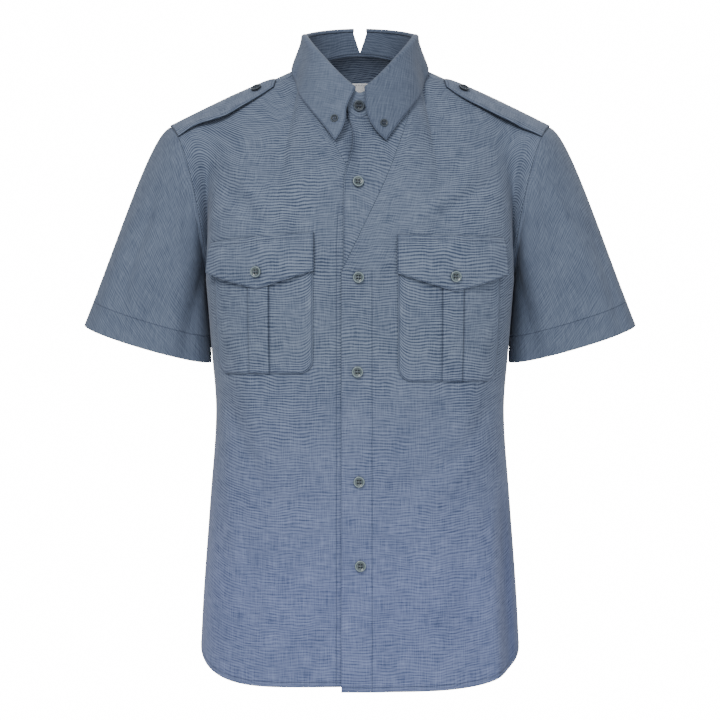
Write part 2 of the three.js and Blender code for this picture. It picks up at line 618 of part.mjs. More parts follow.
// A place over the shoulder: on the line at a ridge x, a distance to the front (negative) or back
function overShoulder(side, x, distance) {
  const across = side * mix(NECK_ACROSS, 1, (x - NECK.halfWidth) / (SHOULDER_TIP.x - NECK.halfWidth));
  const face = distance < 0 ? "front" : "back";
  const steps = 6;
  const reach = (drop) => {
    let length = 0;
    for (let k = 0; k < steps; k += 1) {
      const here = formPoint(face, across, 2 - (drop * k) / steps);
      length += here.distanceTo(formPoint(face, across, 2 - (drop * (k + 1)) / steps));
    }
    return length;
  };
  const drop = distance === 0 ? 0 : solve(reach, Math.abs(distance), 0, 0.6);
  return formPoint(face, across, 2 - drop);
}

function epauletteLift(along, over) {
  return CLOTH + LAYER_GAP + 0.9 * along + EPAULETTE.belly * Math.sin(Math.PI * along) * (0.4 + 0.6 * over ** 2);
}

// An epaulette: caught in the armhole seam, rounded to a blunt point by the collar
function epauletteSheet(side) {
  const rows = 4;
  const length = SHOULDER_TIP.x - EPAULETTE.innerX;
  return sheet(COLUMNS.epaulette, rows, side < 0, (i, j) => {
    const along = (i / COLUMNS.epaulette) ** 1.35;
    const run = along * length;
    const nose = 0.35 + 0.65 * Math.sqrt(Math.min(1, run / EPAULETTE.tip));
    const half = mix(EPAULETTE.halfEnd, EPAULETTE.halfSeam, along) * nose;
    const over = (2 * j) / rows - 1;
    const forward = mix(EPAULETTE.forward, EPAULETTE.forward - 4, along);
    const point = overShoulder(side, mix(EPAULETTE.innerX, SHOULDER_TIP.x - 0.4, along), over * half - forward);
    return { point, lift: epauletteLift(along, over) };
  });
}

const labelSheet = sheet(6, 4, true, (i, j) => {
  const z = mix(LABEL.bottom, LABEL.top, j / 4);
  const { point } = findPlace("back", (i / 6 - 0.5) * LABEL.width, "z", z, 1.8);
  return { point, lift: -LABEL.clear - LABEL.thickness };
});

// Welding: sheets that meet share points, by their rounded place
const keyOf = (p) => `${Math.round(p.x * 40)},${Math.round(p.y * 40)},${Math.round(p.z * 40)}`;

function weld(sheets) {
  const found = new Map();
  const vertices = [];
  const triangles = [];
  const indexOf = (spot) => {
    const key = keyOf(spot.point);
    if (!found.has(key)) {
      found.set(key, vertices.length);
      vertices.push({ ...spot, key });
    }
    return found.get(key);
  };
  for (const { grid, flip } of sheets) {
    const ids = grid.map((line) => line.map(indexOf));
    for (let i = 0; i + 1 < ids.length; i += 1) {
      for (let j = 0; j + 1 < ids[i].length; j += 1) {
        const [a, b, c, d] = [ids[i][j], ids[i + 1][j], ids[i + 1][j + 1], ids[i][j + 1]];
        const pair = (i + j) % 2 ? [[a, b, c], [a, c, d]] : [[a, b, d], [b, c, d]];
        for (const t of pair) {
          if (t[0] === t[1] || t[1] === t[2] || t[2] === t[0]) continue;
          triangles.push(flip ? [t[0], t[2], t[1]] : t);
        }
      }
    }
  }
  return { vertices, triangles };
}

function addNormals(vertices, triangles, into) {
  for (const [a, b, c] of triangles) {
    const [p, q, r] = [vertices[a].point, vertices[b].point, vertices[c].point];
    const face = q.clone().sub(p).cross(r.clone().sub(p));
    for (const [at, from, to] of [[a, b, c], [b, c, a], [c, a, b]]) {
      const u = vertices[from].point.clone().sub(vertices[at].point);
      const v = vertices[to].point.clone().sub(vertices[at].point);
      const key = vertices[at].key;
      if (!into.has(key)) into.set(key, new THREE.Vector3());
      into.get(key).addScaledVector(face.clone().normalize(), u.angleTo(v));
    }
  }
  return into;
}

// A piece of cloth: its sheets moved out by each point's lift, with a wall and closed edges.
// normals, if given, are those of the whole garment, so that neighbours meet in a mitre at a seam.
function clothPiece(sheets, { normals = new Map(), thickness = CLOTH } = {}) {
  const { vertices, triangles } = weld(sheets);
  const own = addNormals(vertices, triangles, new Map());
  const edges = new Map();
  for (const [a, b, c] of triangles) {
    for (const [from, to] of [[a, b], [b, c], [c, a]]) {
      if (edges.has(`${to}-${from}`)) edges.delete(`${to}-${from}`);
      else edges.set(`${from}-${to}`, [from, to]);
    }
  }
  const inward = vertices.map(() => []);
  for (const [from, to] of edges.values()) {
    const run = vertices[to].point.clone().sub(vertices[from].point).normalize();
    for (const at of [from, to]) {
      const normal = own.get(vertices[at].key).clone().normalize();
      inward[at].push(normal.cross(run).normalize());
    }
  }
  const count = vertices.length;
  const positions = new Float32Array(count * 6);
  vertices.forEach((spot, k) => {
    const normal = (normals.get(spot.key) ?? own.get(spot.key)).clone().normalize();
    const base = spot.point.clone();
    if (inward[k].length) {
      const way = inward[k].reduce((sum, v) => sum.add(v), new THREE.Vector3()).normalize();
      base.addScaledVector(way, SEAM_GAP / Math.max(0.5, way.dot(inward[k][0])));
    }
    const low = base.clone().addScaledVector(normal, spot.lift);
    const high = base.clone().addScaledVector(normal, spot.lift + thickness + spot.raise);
    high.toArray(positions, k * 3);
    low.toArray(positions, (count + k) * 3);
  });
  const index = [];
  for (const [a, b, c] of triangles) index.push(a, b, c, count + a, count + c, count + b);
  for (const [from, to] of edges.values()) {
    // neighbours split their facing rims along the same diagonal
    const rising = vertices[from].key < vertices[to].key;
    if (rising) index.push(from, count + from, to, to, count + from, count + to);
    else index.push(from, count + from, count + to, from, count + to, to);
  }
  const geometry = new THREE.BufferGeometry();
  geometry.setAttribute("position", new THREE.BufferAttribute(positions, 3));
  geometry.setIndex(index);
  return geometry;
}

// The shirt
const shirt = new THREE.Group();
const cloth = new THREE.MeshStandardMaterial({ color: CLOTH_COLOUR, roughness: 0.9, metalness: 0 });
const horn = new THREE.MeshStandardMaterial({ color: 0x5c6b78, roughness: 0.35, metalness: 0 });
const satin = new THREE.MeshStandardMaterial({ color: 0xf0f0ee, roughness: 0.7, metalness: 0 });

function addPiece(name, geometry, material = cloth) {
  const mesh = new THREE.Mesh(geometry, material);
  mesh.name = name;
  shirt.add(mesh);
  return mesh;
}

const rightFront = frontSheet(-1);
const leftFront = frontSheet(1);
const rightSleeve = sleeveSheet(-1);
const leftSleeve = sleeveSheet(1);
const body = [rightFront, leftFront, rightInsetSheet, leftInsetSheet, backSheet, yokeSheet];
const wholeGarment = weld([...body, rightSleeve, leftSleeve, standSheet]);
const normals = addNormals(wholeGarment.vertices, wholeGarment.triangles, new Map());

addPiece("back", clothPiece([backSheet], { normals }));
addPiece("yoke", clothPiece([yokeSheet], { normals }));
addPiece("front_right", clothPiece([rightFront], { normals }));
addPiece("front_left", clothPiece([leftFront], { normals }));
addPiece("neck_inset_right", clothPiece([rightInsetSheet], { normals }));
addPiece("neck_inset_left", clothPiece([leftInsetSheet], { normals }));
addPiece("sleeve_right", clothPiece([rightSleeve], { normals }));
addPiece("sleeve_left", clothPiece([leftSleeve], { normals }));
addPiece("collar_stand", clothPiece([standSheet], { normals }));
addPiece("collar_leaf_right", clothPiece([leafSheet(-1)]));
addPiece("collar_leaf_left", clothPiece([leafSheet(1)]));
for (const pocket of POCKETS) {
  addPiece(`pocket_${pocket.name}`, clothPiece([pocketSheet(pocket)]));
  addPiece(`pocket_flap_${pocket.name}`, clothPiece([flapSheet(pocket)]));
}
addPiece("epaulette_right", clothPiece([epauletteSheet(-1)]));
addPiece("epaulette_left", clothPiece([epauletteSheet(1)]));
addPiece("neck_label", clothPiece([labelSheet], { thickness: LABEL.thickness }), satin);

// Buttons, each on the outer face of the cloth that it closes
function addButton(name, size, point, normal, lift) {
  const { radius, thickness, dish, rim, sides } = size;
  const profile = [
    new THREE.Vector2(0, 0),
    new THREE.Vector2(radius * 0.8, 0),
    new THREE.Vector2(radius, thickness * 0.55),
    new THREE.Vector2(radius - rim / 2, thickness),
    new THREE.Vector2(radius - rim, thickness - dish),
    new THREE.Vector2(0, thickness - dish),
  ];
  const button = addPiece(name, new THREE.LatheGeometry(profile, sides), horn);
  button.position.copy(point).addScaledVector(normal, lift);
  button.quaternion.setFromUnitVectors(new THREE.Vector3(0, 1, 0), normal);
}

const onLeftFront = OVERLAP_LIFT + CLOTH + BUTTON.clear;
FRONT_BUTTONS.forEach(({ x, z, clear = 0 }, k) => {
  const { point, normal } = placeAt("front", x, z);
  addButton(`button_front_${k + 1}`, BUTTON, point, normal, onLeftFront + clear);
});

// The stand's button, on the left end of the stand
const standFoot = neckPoint("front", STAND_BUTTON_ACROSS);
const standNormal = new THREE.Vector3(0, -1, 0);
const standHead = standTop("front", STAND_BUTTON_ACROSS);
addButton("button_stand", BUTTON, standFoot.lerp(standHead, 0.5), standNormal, onLeftFront + 0.4);

for (const side of [-1, 1]) {
  const name = side < 0 ? "right" : "left";
  const spot = (along, down) => leafPoint(side, along, down).multiply(new THREE.Vector3(side, 1, 1));
  const { along, down } = LEAF_BUTTON[name];
  const run = spot(along + 0.02, down).sub(spot(along - 0.02, down));
  const fall = spot(along, down + 0.3).sub(spot(along, down - 0.3));
  const leafNormal = run.cross(fall).normalize().multiplyScalar(side);
  addButton(`button_collar_${name}`, SMALL_BUTTON, spot(along, down), leafNormal, CLOTH + BUTTON.clear);

  const flapSpot = placeAt("front", side * FLAP_BUTTON[name].x, FLAP_BUTTON[name].z);
  const onFlap = 3 * CLOTH + POCKET.clear + POCKET.pleatRise + LAYER_GAP + BUTTON.clear;
  addButton(`button_pocket_${name}`, BUTTON, flapSpot.point, flapSpot.normal, onFlap);

  const strapSpot = (x, over) => overShoulder(side, x, over - EPAULETTE.forward);
  const ridge = strapSpot(EPAULETTE.buttonX, 0);
  const outward = strapSpot(EPAULETTE.buttonX + 4, 0).sub(strapSpot(EPAULETTE.buttonX - 4, 0));
  const backward = strapSpot(EPAULETTE.buttonX, 8).sub(strapSpot(EPAULETTE.buttonX, -8));
  const up = outward.cross(backward).normalize().multiplyScalar(side);
  const share = (EPAULETTE.buttonX - EPAULETTE.innerX) / (SHOULDER_TIP.x - EPAULETTE.innerX);
  addButton(`button_epaulette_${name}`, BUTTON, ridge, up, epauletteLift(share, 0) + CLOTH + BUTTON.clear);
}

export default shirt;
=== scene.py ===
import math

import bmesh
import bpy
import numpy as np
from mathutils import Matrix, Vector


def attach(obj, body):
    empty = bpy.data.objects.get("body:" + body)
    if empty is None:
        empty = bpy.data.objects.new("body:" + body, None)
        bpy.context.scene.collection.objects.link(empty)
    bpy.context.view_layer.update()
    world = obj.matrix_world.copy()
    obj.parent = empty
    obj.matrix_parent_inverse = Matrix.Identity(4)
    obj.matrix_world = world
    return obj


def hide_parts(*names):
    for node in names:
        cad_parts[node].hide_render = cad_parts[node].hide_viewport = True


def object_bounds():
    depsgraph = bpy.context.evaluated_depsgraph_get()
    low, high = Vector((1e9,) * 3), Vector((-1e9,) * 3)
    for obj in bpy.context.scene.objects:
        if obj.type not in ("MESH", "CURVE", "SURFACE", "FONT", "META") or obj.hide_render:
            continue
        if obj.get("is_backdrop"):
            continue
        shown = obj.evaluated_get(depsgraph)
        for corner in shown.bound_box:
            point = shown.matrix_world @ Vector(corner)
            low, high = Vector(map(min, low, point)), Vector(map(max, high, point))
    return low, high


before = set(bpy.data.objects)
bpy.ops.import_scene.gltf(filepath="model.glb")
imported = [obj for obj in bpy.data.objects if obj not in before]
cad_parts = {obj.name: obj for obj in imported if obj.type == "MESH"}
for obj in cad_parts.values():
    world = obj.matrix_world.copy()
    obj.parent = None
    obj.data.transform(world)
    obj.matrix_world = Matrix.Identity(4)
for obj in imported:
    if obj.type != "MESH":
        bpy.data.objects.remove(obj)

bl_info = {
    "name": "Military Shirt",
    "version": (1, 0, 0),
    "blender": (4, 5, 0),
    "location": "View3D > Sidebar > Shirt",
    "description": "Builds a filled-out short-sleeved military shirt in chambray, with its sewing",
    "category": "Add Mesh",
}

# Every table is in millimetres, in the part's own frame; pieces are scaled to metres when made.
MM = 0.001
CLOTH = 1.2  # outer face of one layer, off the form
LAYER_GAP = 0.8
OVERLAP_LIFT = CLOTH + 0.5 + LAYER_GAP + 0.2
NECK_ACROSS = 0.33
V_TOP_ACROSS = 0.27
CHEST_Z = -250.0
SHOULDER_TIP = np.array([222.0, 4.0, -71.0])
HEM = {"front": -716.0, "side": -677.0, "back": -730.0, "rise": 5.6, "right_up": 6.0}
NECK = {"half": 66.0, "front": 84.0, "back": 60.0, "drop": 80.0, "rise": 20.0, "round": 0.15}
STAND = {"half": 63.0, "front": 81.0, "back": 62.0, "side": 33.0, "drop": 77.0, "rise": 15.0, "round": 0.08}
NOTCH = {"half": 8.2, "foot": 0.14}
YOKE = {"front": 0.1, "ease": 0.07, "back": -100.0}
LEAF = {"back_turn": 6.5, "front_turn": 175.5, "fold": 2.2, "lift": CLOTH + 2.3, "rise": 2.9}
EPAULETTE = {"inner": 96.0, "end": 19.0, "seam": 24.0, "tip": 16.0, "forward": 19.0, "seam_back": 4.0}
SLEEVE = {"outer": (322.0, 4.0, -302.5), "inner": (175.0, 2.0, -345.0), "depth": 45.0, "sag": 7.0}
ROLL_ROWS = 11  # rows of a leaf's grid before its fall
LABEL = {"width": 50.0, "top": -10.0, "bottom": -52.0, "thick": 0.8, "clear": 1.6}
# How far each leaf's front edge bows towards the middle, by share of the fall from the fold
LEAF_BOWS = {
    -1: [(0, 0), (0.4, 0.5), (0.65, 4.5), (0.85, 4.4), (1, 1.5)],
    1: [(0, 0), (0.25, 6.3), (0.5, 10), (0.7, 9.6), (0.87, 5.5), (1, 0)],
}
EDGE_LINE = 1.6  # sewn line along a folded edge
SEAM_LINE = 6.0  # second line of a flap
HEM_LINE = 6.0
STRAP_LINE = 4.0
STAND_LINE = 3.0  # inside the stand, above its seam
FAR = 99.0  # distance given where a piece has no sewn line
# Epaulettes: share from the collar to the seam against the reach of the front edge from the ridge
STRAP_FRONT = {
    -1: [(0, 27), (0.1, 36), (0.25, 44), (0.4, 47), (0.55, 42), (0.77, 34), (1, 39)],
    1: [(0, 27), (0.1, 37), (0.25, 43), (0.45, 44), (0.7, 39), (1, 39)],
}
# and how far the front edge stands off the shoulder
STRAP_STANDOFF = [(0, 0), (0.15, 0.8), (0.35, 2.6), (0.6, 4.4), (0.8, 2.4), (1, 0)]
# The photograph's camera
CAMERA_DISTANCE = 3.0
CAMERA_HEIGHT = -0.3429
PHOTO_WIDTH = 720
PIXEL = 1.17  # millimetres at the middle of the shirt
LAMP_AIM = (0, 0, -0.35)
# Lamps: place, energy, size
LAMPS = {
    "key": ((-0.9, -2.3, 1.55), 68, 1.0),
    "fill": ((1.2, -2.5, 0.2), 29, 2.2),
    "back": ((0.4, 2.2, 1.4), 30, 2.0),
}
FLOOR = {"half": 1.3, "level": -1.05}
LEFT_EDGE_X = -21.0
RIGHT_EDGE_X = 8.0

# Yarns of the cloth: length and width of their thick places, and the pitches of the weave and of the
# watered lines
WARP_SLUB = (22.0, 1.15)
WEFT_SLUB = (20.0, 1.25)
WEAVE_PITCH = 1.45
WATERED_PITCH = 3.3
# Heights in metres between which the cloth turns from grey to blue
BLUER_FROM = -0.33
BLUER_TO = -0.6
# Painted shade: tints laid over the cloth in a sewn groove and where it is marked as shaded, and the colour
# laid over a button in its holes, round its edge and underneath
GROOVE_SHADE_TINT = (0.42, 0.47, 0.56, 1)
SHADE_TINT = (0.2, 0.23, 0.28, 1)
BUTTON_SHADE_COLOUR = (0.006, 0.008, 0.011, 1)

# Level sections of the body
SECTIONS = np.array(
    [
        # z, half width, front, back, square
        (-735, 187, 121, 116, 0.07),
        (-623, 182, 124, 117, 0.07),
        (-509, 174, 122, 110, 0.06),
        (-404, 167, 119, 101, 0.07),
        (-329, 171.8, 122, 108, 0.11),
        (-250, 176.6, 126, 120, 0.15),
    ],
    float,
)
# Lines up the panels: across, rise x y z from the chest, fall x y z from the neck or shoulder
LINES = {
    "front": np.array(
        [
            (0, 0, 0, 70, 0, -16, -56),
            (0.33, 0, 0, 80, 2, -42, -22),
            (0.6, 0, 2, 85, 0, -48, -4),
            (0.85, -13, -14, 78, -5, -58, -7),
            (1, -1, -80, 60, -22, -74, -12),
        ],
        float,
    ),
    "back": np.array(
        [
            (0, 0, 0, 95, 0, 34, -20),
            (0.33, 0, 0, 90, 2, 62, -6),
            (0.6, 0, 0, 88, 0, 64, -3),
            (0.85, -13, 14, 80, -4, 64, -6),
            (1, 0, 72, 66, -14, 66, -12),
        ],
        float,
    ),
}
LEFT_V = [(-242, -20), (-144, 27), (-66, 54.5), (-40, 57)]
RIGHT_V = [(-164, -8), (-122, 15.8), (-80, 39.6), (-44, 55)]
LEFT_INSET = [(-242, -18.5), (-139, -18), (-117, -13), (-99, -9), (-81, -9.5), (-69, -14)]
LEAF_EDGE = [
    # turn, face, x, other coordinate, which one
    (6.5, "back", 11, 75, 1),
    (35, "back", 45, 61, 1),
    (60, "back", 68, 35, 1),
    (80, "back", 76, 12, 1),
    (89, "back", 77.5, 1, 1),
    (99, "front", 77.5, -14, 1),
    (115, "front", 73, -24, 2),
    (130, "front", 66, -41.5, 2),
    (145, "front", 54.5, -60, 2),
    (160, "front", 41.5, -78.5, 2),
    (175.5, "front", 29, -97, 2),
]
POCKET = {"width": 124.0, "corner": 16.0, "pleat": 24.0, "rise": 1.0, "top": -222.0, "clear": 0.8}
POCKETS = [
    # side, inner edge, bottom, top of the flap, fall of the flap's seam
    (-1, 52.5, -358.0, -199.5, 10.0),
    (1, 42.5, -367.0, -202.5, 2.0),
]
FLAP = {"width": 130.0, "inset": 1.0, "corner": 43.5, "point": 64.0}
# Folds and creases of the fronts and the back: face, x0, z0, x1, z1, width, depth (a trough below 0)
FOLDS = [
    ("front", -156, -285, -112, -430, 17, 3.5),
    ("front", 154, -290, 110, -440, 17, 3.5),
    ("front", -150, -150, -70, -215, 16, -3),
    ("front", 150, -150, 70, -215, 16, -3),
    ("front", -125, -700, -60, -500, 24, 4),
    ("front", 158, -715, 140, -560, 14, 6),
    ("front", 118, -715, 112, -590, 18, -3),
    ("back", -145, -280, -60, -420, 22, 5),
    ("back", 145, -280, 60, -420, 22, 5),
    ("back", -95, -720, -80, -430, 24, 5),
    ("back", 95, -720, 80, -430, 24, 5),
]
CREASES = [
    # pulls from the armholes to the chest
    ("front", 142, -118, 72, -178, 7, 3.4),
    ("front", 150, -136, 84, -190, 6, -2.6),
    ("front", 168, -150, 120, -180, 6, 2.2),
    ("front", 128, -96, 92, -150, 7, -1.8),
    ("front", -146, -122, -104, -178, 7, 3.2),
    ("front", -160, -140, -112, -192, 6, -2.6),
    ("front", -172, -156, -132, -182, 6, 2.0),
    ("front", -120, -96, -84, -160, 8, -1.8),
    ("front", -84, -100, -62, -170, 8, 1.4),
    ("front", 88, -100, 70, -150, 7, 1.4),
    # waist
    ("front", -150, -384, -128, -450, 9, -3.2),
    ("front", -130, -444, -104, -505, 9, -3.4),
    ("front", -157, -420, -138, -572, 9, 3.4),
    ("front", -104, -500, -40, -508, 9, -1.6),
    ("front", 148, -396, 108, -452, 9, -3.2),
    ("front", 112, -446, 32, -502, 9, -3.2),
    ("front", 140, -446, 60, -520, 12, 2.8),
    ("front", 158, -470, 138, -540, 8, -2.0),
    # lower fronts
    ("front", 12, -590, 104, -658, 8, -3.2),
    ("front", 26, -574, 118, -636, 10, 2.2),
    ("front", -22, -646, -56, -676, 7, -2.4),
    ("front", -24, -560, -70, -600, 10, 1.4),
    ("front", -128, -560, -118, -690, 12, -1.8),
    ("front", 70, -560, 62, -700, 13, 1.2),
    # the edge where the left front turns back to the side
    ("front", 157, -745, 152, -520, 6, 3.0),
    ("front", 171, -745, 165, -475, 8, -13.0),
    # placket, drawn in a little between the buttons
    ("front", -12, -300, -10, -316, 9, 1.0),
    ("front", 10, -406, 8, -432, 9, 1.1),
    ("front", -14, -520, -10, -534, 9, 1.0),
    ("front", 24, -200, 22, -238, 8, 1.0),
    ("front", 8, -620, 6, -660, 10, 1.2),
    # back: from the armholes, across the waist and above the hem
    ("back", -158, -170, -78, -235, 10, 3.2),
    ("back", 158, -170, 82, -240, 10, 3.2),
    ("back", -150, -196, -70, -262, 8, -2.6),
    ("back", 152, -200, 70, -268, 8, -2.6),
    ("back", -128, -330, -30, -424, 12, 2.8),
    ("back", 122, -340, 24, -430, 12, 2.8),
    ("back", -90, -420, 20, -470, 11, -2.6),
    ("back", 110, -450, 10, -500, 11, -2.4),
    ("back", -44, -560, -52, -720, 14, 2.6),
    ("back", 40, -540, 52, -720, 14, -2.4),
    ("back", 140, -560, 128, -715, 12, 2.4),
    ("back", -148, -560, -134, -715, 12, -2.4),
]
# Folds of the sleeves: side (0 both), share of the way round from the front underarm and distance
# from the armhole at both ends, width, depth
SLEEVE_FOLDS = [
    (0, 0.08, 14, 0.13, 150, 10, -3.0),
    (0, 0.16, 30, 0.20, 235, 13, 2.6),
    (0, 0.26, 60, 0.26, 250, 12, -2.2),
    (-1, 0.37, 70, 0.35, 190, 8, -2.8),
    (-1, 0.42, 90, 0.41, 250, 10, 1.6),
    (1, 0.34, 40, 0.37, 200, 9, 2.2),
    (1, 0.43, 120, 0.41, 250, 9, -1.8),
    (0, 0.30, 6, 0.22, 60, 7, 1.6),
    (0, 0.60, 30, 0.64, 230, 13, -2.6),
    (0, 0.72, 40, 0.71, 245, 12, 2.6),
    (0, 0.84, 20, 0.80, 220, 11, -2.8),
    (0, 0.92, 12, 0.90, 140, 9, 2.2),
]


def settings():
    """The sizes that a user may change."""
    return bpy.context.scene.shirt_sizes


def finish():
    """The colours and lights that a user may change."""
    return bpy.context.scene.shirt_finish


def mix(a, b, t):
    """A straight step from a to b by a share."""
    return a + (b - a) * t


def smooth(t):
    """A soft step from 0 to 1: three squares less two cubes."""
    s = np.clip(t, 0, 1)
    return s * s * (3 - 2 * s)


def bell(d, width):
    """A bell: e to the power of minus the squared distance in widths."""
    return np.exp(-((d / width) ** 2))


def curve_at(keys, values, at):
    """Values of a table at a key, by cubic pieces through its rows, with slopes between neighbours."""
    keys, values = np.asarray(keys, float), np.asarray(values, float)
    at = np.asarray(at, float)
    k = np.clip(np.searchsorted(keys, at, "right") - 1, 0, len(keys) - 2)
    low, high = np.maximum(np.arange(len(keys)) - 1, 0), np.minimum(np.arange(len(keys)) + 1, len(keys) - 1)
    slopes = (values[high] - values[low]) / (keys[high] - keys[low]).reshape((-1,) + (1,) * (values.ndim - 1))
    span = keys[k + 1] - keys[k]
    t = np.clip((at - keys[k]) / span, 0, 1)
    if values.ndim > 1:
        span, t = span[..., None], t[..., None]
    a, b, m, n = values[k], values[k + 1], slopes[k] * span, slopes[k + 1] * span
    return a + m * t + (3 * (b - a) - 2 * m - n) * t**2 + (2 * (a - b) + m + n) * t**3


def edge_at(table, z):
    """An edge's x at the heights z, from a table of height and x."""
    table = sorted(table)
    return curve_at([r[0] for r in table], [r[1] for r in table], z)


def stack(x, y, z):
    """Points from their three coordinates, spread to one shape."""
    return np.stack(np.broadcast_arrays(x, y, z), -1).astype(float)


def bezier(p0, p1, p2, p3, t):
    """A cubic curve: its two ends and the two points that pull it, weighted 1, 3, 3 and 1 times the powers
    of t and of one less t."""
    s = 1 - t
    return p0 * s**3 + 3 * p1 * s * s * t + 3 * p2 * s * t * t + p3 * t**3


def ring_point(face, across, z):
    """The body at a level: a squarish ellipse, -1 and 1 across at the side seams."""
    section = curve_at(SECTIONS[:, 0], SECTIONS[:, 1:], z)
    angle = across * math.pi / 2
    swell = 1 + section[..., 3] * np.sin(2 * angle) ** 2
    depth = -section[..., 1] if face == "front" else section[..., 2]
    return stack(section[..., 0] * np.sin(angle) * swell, depth * np.cos(angle) * swell, z)


def hem_z(face, across):
    """The hem's height: from the middle's to the side's by a high power of the sine of the turn."""
    lift = np.abs(np.sin(across * math.pi / 2)) ** HEM["rise"]
    return mix(HEM[face], HEM["side"], lift)


def neck_point(face, across):
    """The neck edge: half an ellipse in plan. In front it drops by a power of one less the sine of the turn,
    rounded off in the middle, and behind it rises by the squared cosine."""
    angle = across / NECK_ACROSS * math.pi / 2
    x = NECK["half"] * np.sin(angle)
    if face == "back":
        return stack(x, NECK["back"] * np.cos(angle), NECK["rise"] * np.cos(angle) ** 2)
    drop = NECK["drop"] * np.maximum(1 - np.hypot(np.sin(angle), NECK["round"]), 0) ** 0.9
    return stack(x, -NECK["front"] * np.cos(angle), -drop)


def stand_top(face, across):
    """The stand's top edge: a smaller half ellipse that drops and rises as the neck edge does."""
    angle = across / NECK_ACROSS * math.pi / 2
    x = STAND["half"] * np.sin(angle)
    if face == "back":
        rise = STAND["side"] + STAND["rise"] * np.abs(np.cos(angle)) ** 1.2
        return stack(x, STAND["back"] * np.cos(angle), rise)
    drop = STAND["side"] - STAND["drop"] * np.maximum(1 - np.hypot(np.sin(angle), STAND["round"]), 0) ** 0.8
    return stack(x, -STAND["front"] * np.cos(angle), drop)


def top_point(face, across):
    """The neck edge, or the shoulder's ridge beyond the side neck point."""
    out = (np.abs(across) - NECK_ACROSS) / (1 - NECK_ACROSS)
    side = np.sign(across)
    run = mix(NECK["half"], SHOULDER_TIP[0], out)
    ridge = stack(side * run, SHOULDER_TIP[1] * out, SHOULDER_TIP[2] * out)
    neck = neck_point(face, np.clip(across, -NECK_ACROSS, NECK_ACROSS))
    return np.where((out <= 0)[..., None], neck, ridge)


def upper_point(face, across, t):
    """The body above the chest: lines that run up from it in one curve to the neck or the ridge."""
    table = LINES[face]
    line = curve_at(table[:, 0], table[:, 1:], np.abs(across))
    side = np.sign(across)
    chest = ring_point(face, across, np.full_like(across, CHEST_Z))
    lean = chest - ring_point(face, across, np.full_like(across, CHEST_Z - 1))
    top = top_point(face, across)
    rise = chest + lean * line[..., 2:3] + stack(side * line[..., 0], line[..., 1], 0)
    fall = top + stack(side * line[..., 3], line[..., 4], line[..., 5])
    return bezier(chest, rise, fall, top, t[..., None])


def fold_depth(face, point):
    """The sum of the folds at a point: each is a bell across a line, wavy and uneven along it, that fades at
    both its ends."""
    depth = np.zeros(point.shape[:-1])
    for k, (name, x0, z0, x1, z1, width, deep) in enumerate(FOLDS + CREASES):
        if name != face:
            continue
        run_x, run_z = x1 - x0, z1 - z0
        length = math.hypot(run_x, run_z)
        along = ((point[..., 0] - x0) * run_x + (point[..., 2] - z0) * run_z) / length**2
        off = ((point[..., 0] - x0) * run_z - (point[..., 2] - z0) * run_x) / length
        uneven = 1.0
        if k >= len(FOLDS):
            off = off + 0.22 * width * np.sin(5.1 * along + 1.7 * k)
            uneven = 0.85 + 0.2 * np.sin(3.3 * along + 2.1 * k)
            deep, width = deep * settings().crease, width * (1 + 0.18 * along)
        ends = smooth((along + 0.25) / 0.5) * smooth((1.25 - along) / 0.5)
        depth += deep * uneven * ends * bell(off, width)
    return depth


def form_point(face, across, height):
    """A point of the form: height 0 at the hem, 1 at the chest, 2 at the neck or the shoulder's ridge."""
    across, height = np.broadcast_arrays(np.asarray(across, float), np.asarray(height, float))
    low = ring_point(face, across, mix(hem_z(face, across), CHEST_Z, np.minimum(height, 1)))
    high = upper_point(face, across, np.clip(height - 1, 0, 1))
    point = np.where((height <= 1)[..., None], low, high)
    fade = (1 - np.abs(across) ** 8) * smooth((2 - height) / 0.4)
    point[..., 1] += (-1 if face == "front" else 1) * fold_depth(face, point) * fade
    return point


def form_normal(face, across, height):
    """The form's outward direction: the cross product of a short step across and one up, at length one."""
    step = 0.002
    a, h = np.clip(across, step - 1, 1 - step), np.clip(height, step, 2 - step)
    dx = form_point(face, a + step, h) - form_point(face, a - step, h)
    dz = form_point(face, a, h + step) - form_point(face, a, h - step)
    n = np.cross(dx, dz) * (1 if face == "front" else -1)
    return n / np.linalg.norm(n, axis=-1, keepdims=True)


def find_place(face, x, key, value, guess):
    """The across and height at which a face has a given x and one other coordinate, by Newton's steps."""
    x, value = np.broadcast_arrays(np.asarray(x, float), np.asarray(value, float))
    across, height = x / 178 * 0.8, np.broadcast_to(guess, x.shape).astype(float)
    step = 0.003
    for _ in range(30):
        here = form_point(face, across, height)
        beside = (form_point(face, across + step, height) - here) / step
        below = (here - form_point(face, across, height - step)) / step
        miss_x, miss_k = x - here[..., 0], value - here[..., key]
        scale = beside[..., 0] * below[..., key] - below[..., 0] * beside[..., key]
        move_a = (miss_x * below[..., key] - miss_k * below[..., 0]) / scale
        move_h = (beside[..., 0] * miss_k - beside[..., key] * miss_x) / scale
        across = np.clip(across + np.clip(move_a, -0.1, 0.1), -0.995, 0.995)
        height = np.clip(height + np.clip(move_h, -0.15, 0.15), 0, 2)
    return across, height


def front_at(x, z):
    """The across and height of a front's point from its x and its level."""
    guess = np.where(np.asarray(z) < CHEST_Z, (np.asarray(z) - HEM["front"]) / (CHEST_Z - HEM["front"]), 1.4)
    return find_place("front", x, 2, z, guess)


def unit(v):
    """Directions over their length, so that each has length one."""
    return v / np.maximum(np.linalg.norm(v, axis=-1, keepdims=True), 1e-9)


def grid_normals(p, like):
    """Unit normals of a grid of points, turned to the side where the directions like points."""
    n = np.cross(np.gradient(p, axis=0), np.gradient(p, axis=1))
    n = unit(n)
    if np.sum(n * like) < 0:
        n = -n
    return n


def arc(points):
    """Distances along the first axis of an array of points."""
    d = np.linalg.norm(np.diff(points, axis=0), axis=-1)
    return np.concatenate([np.zeros((1,) + d.shape[1:]), np.cumsum(d, axis=0)])


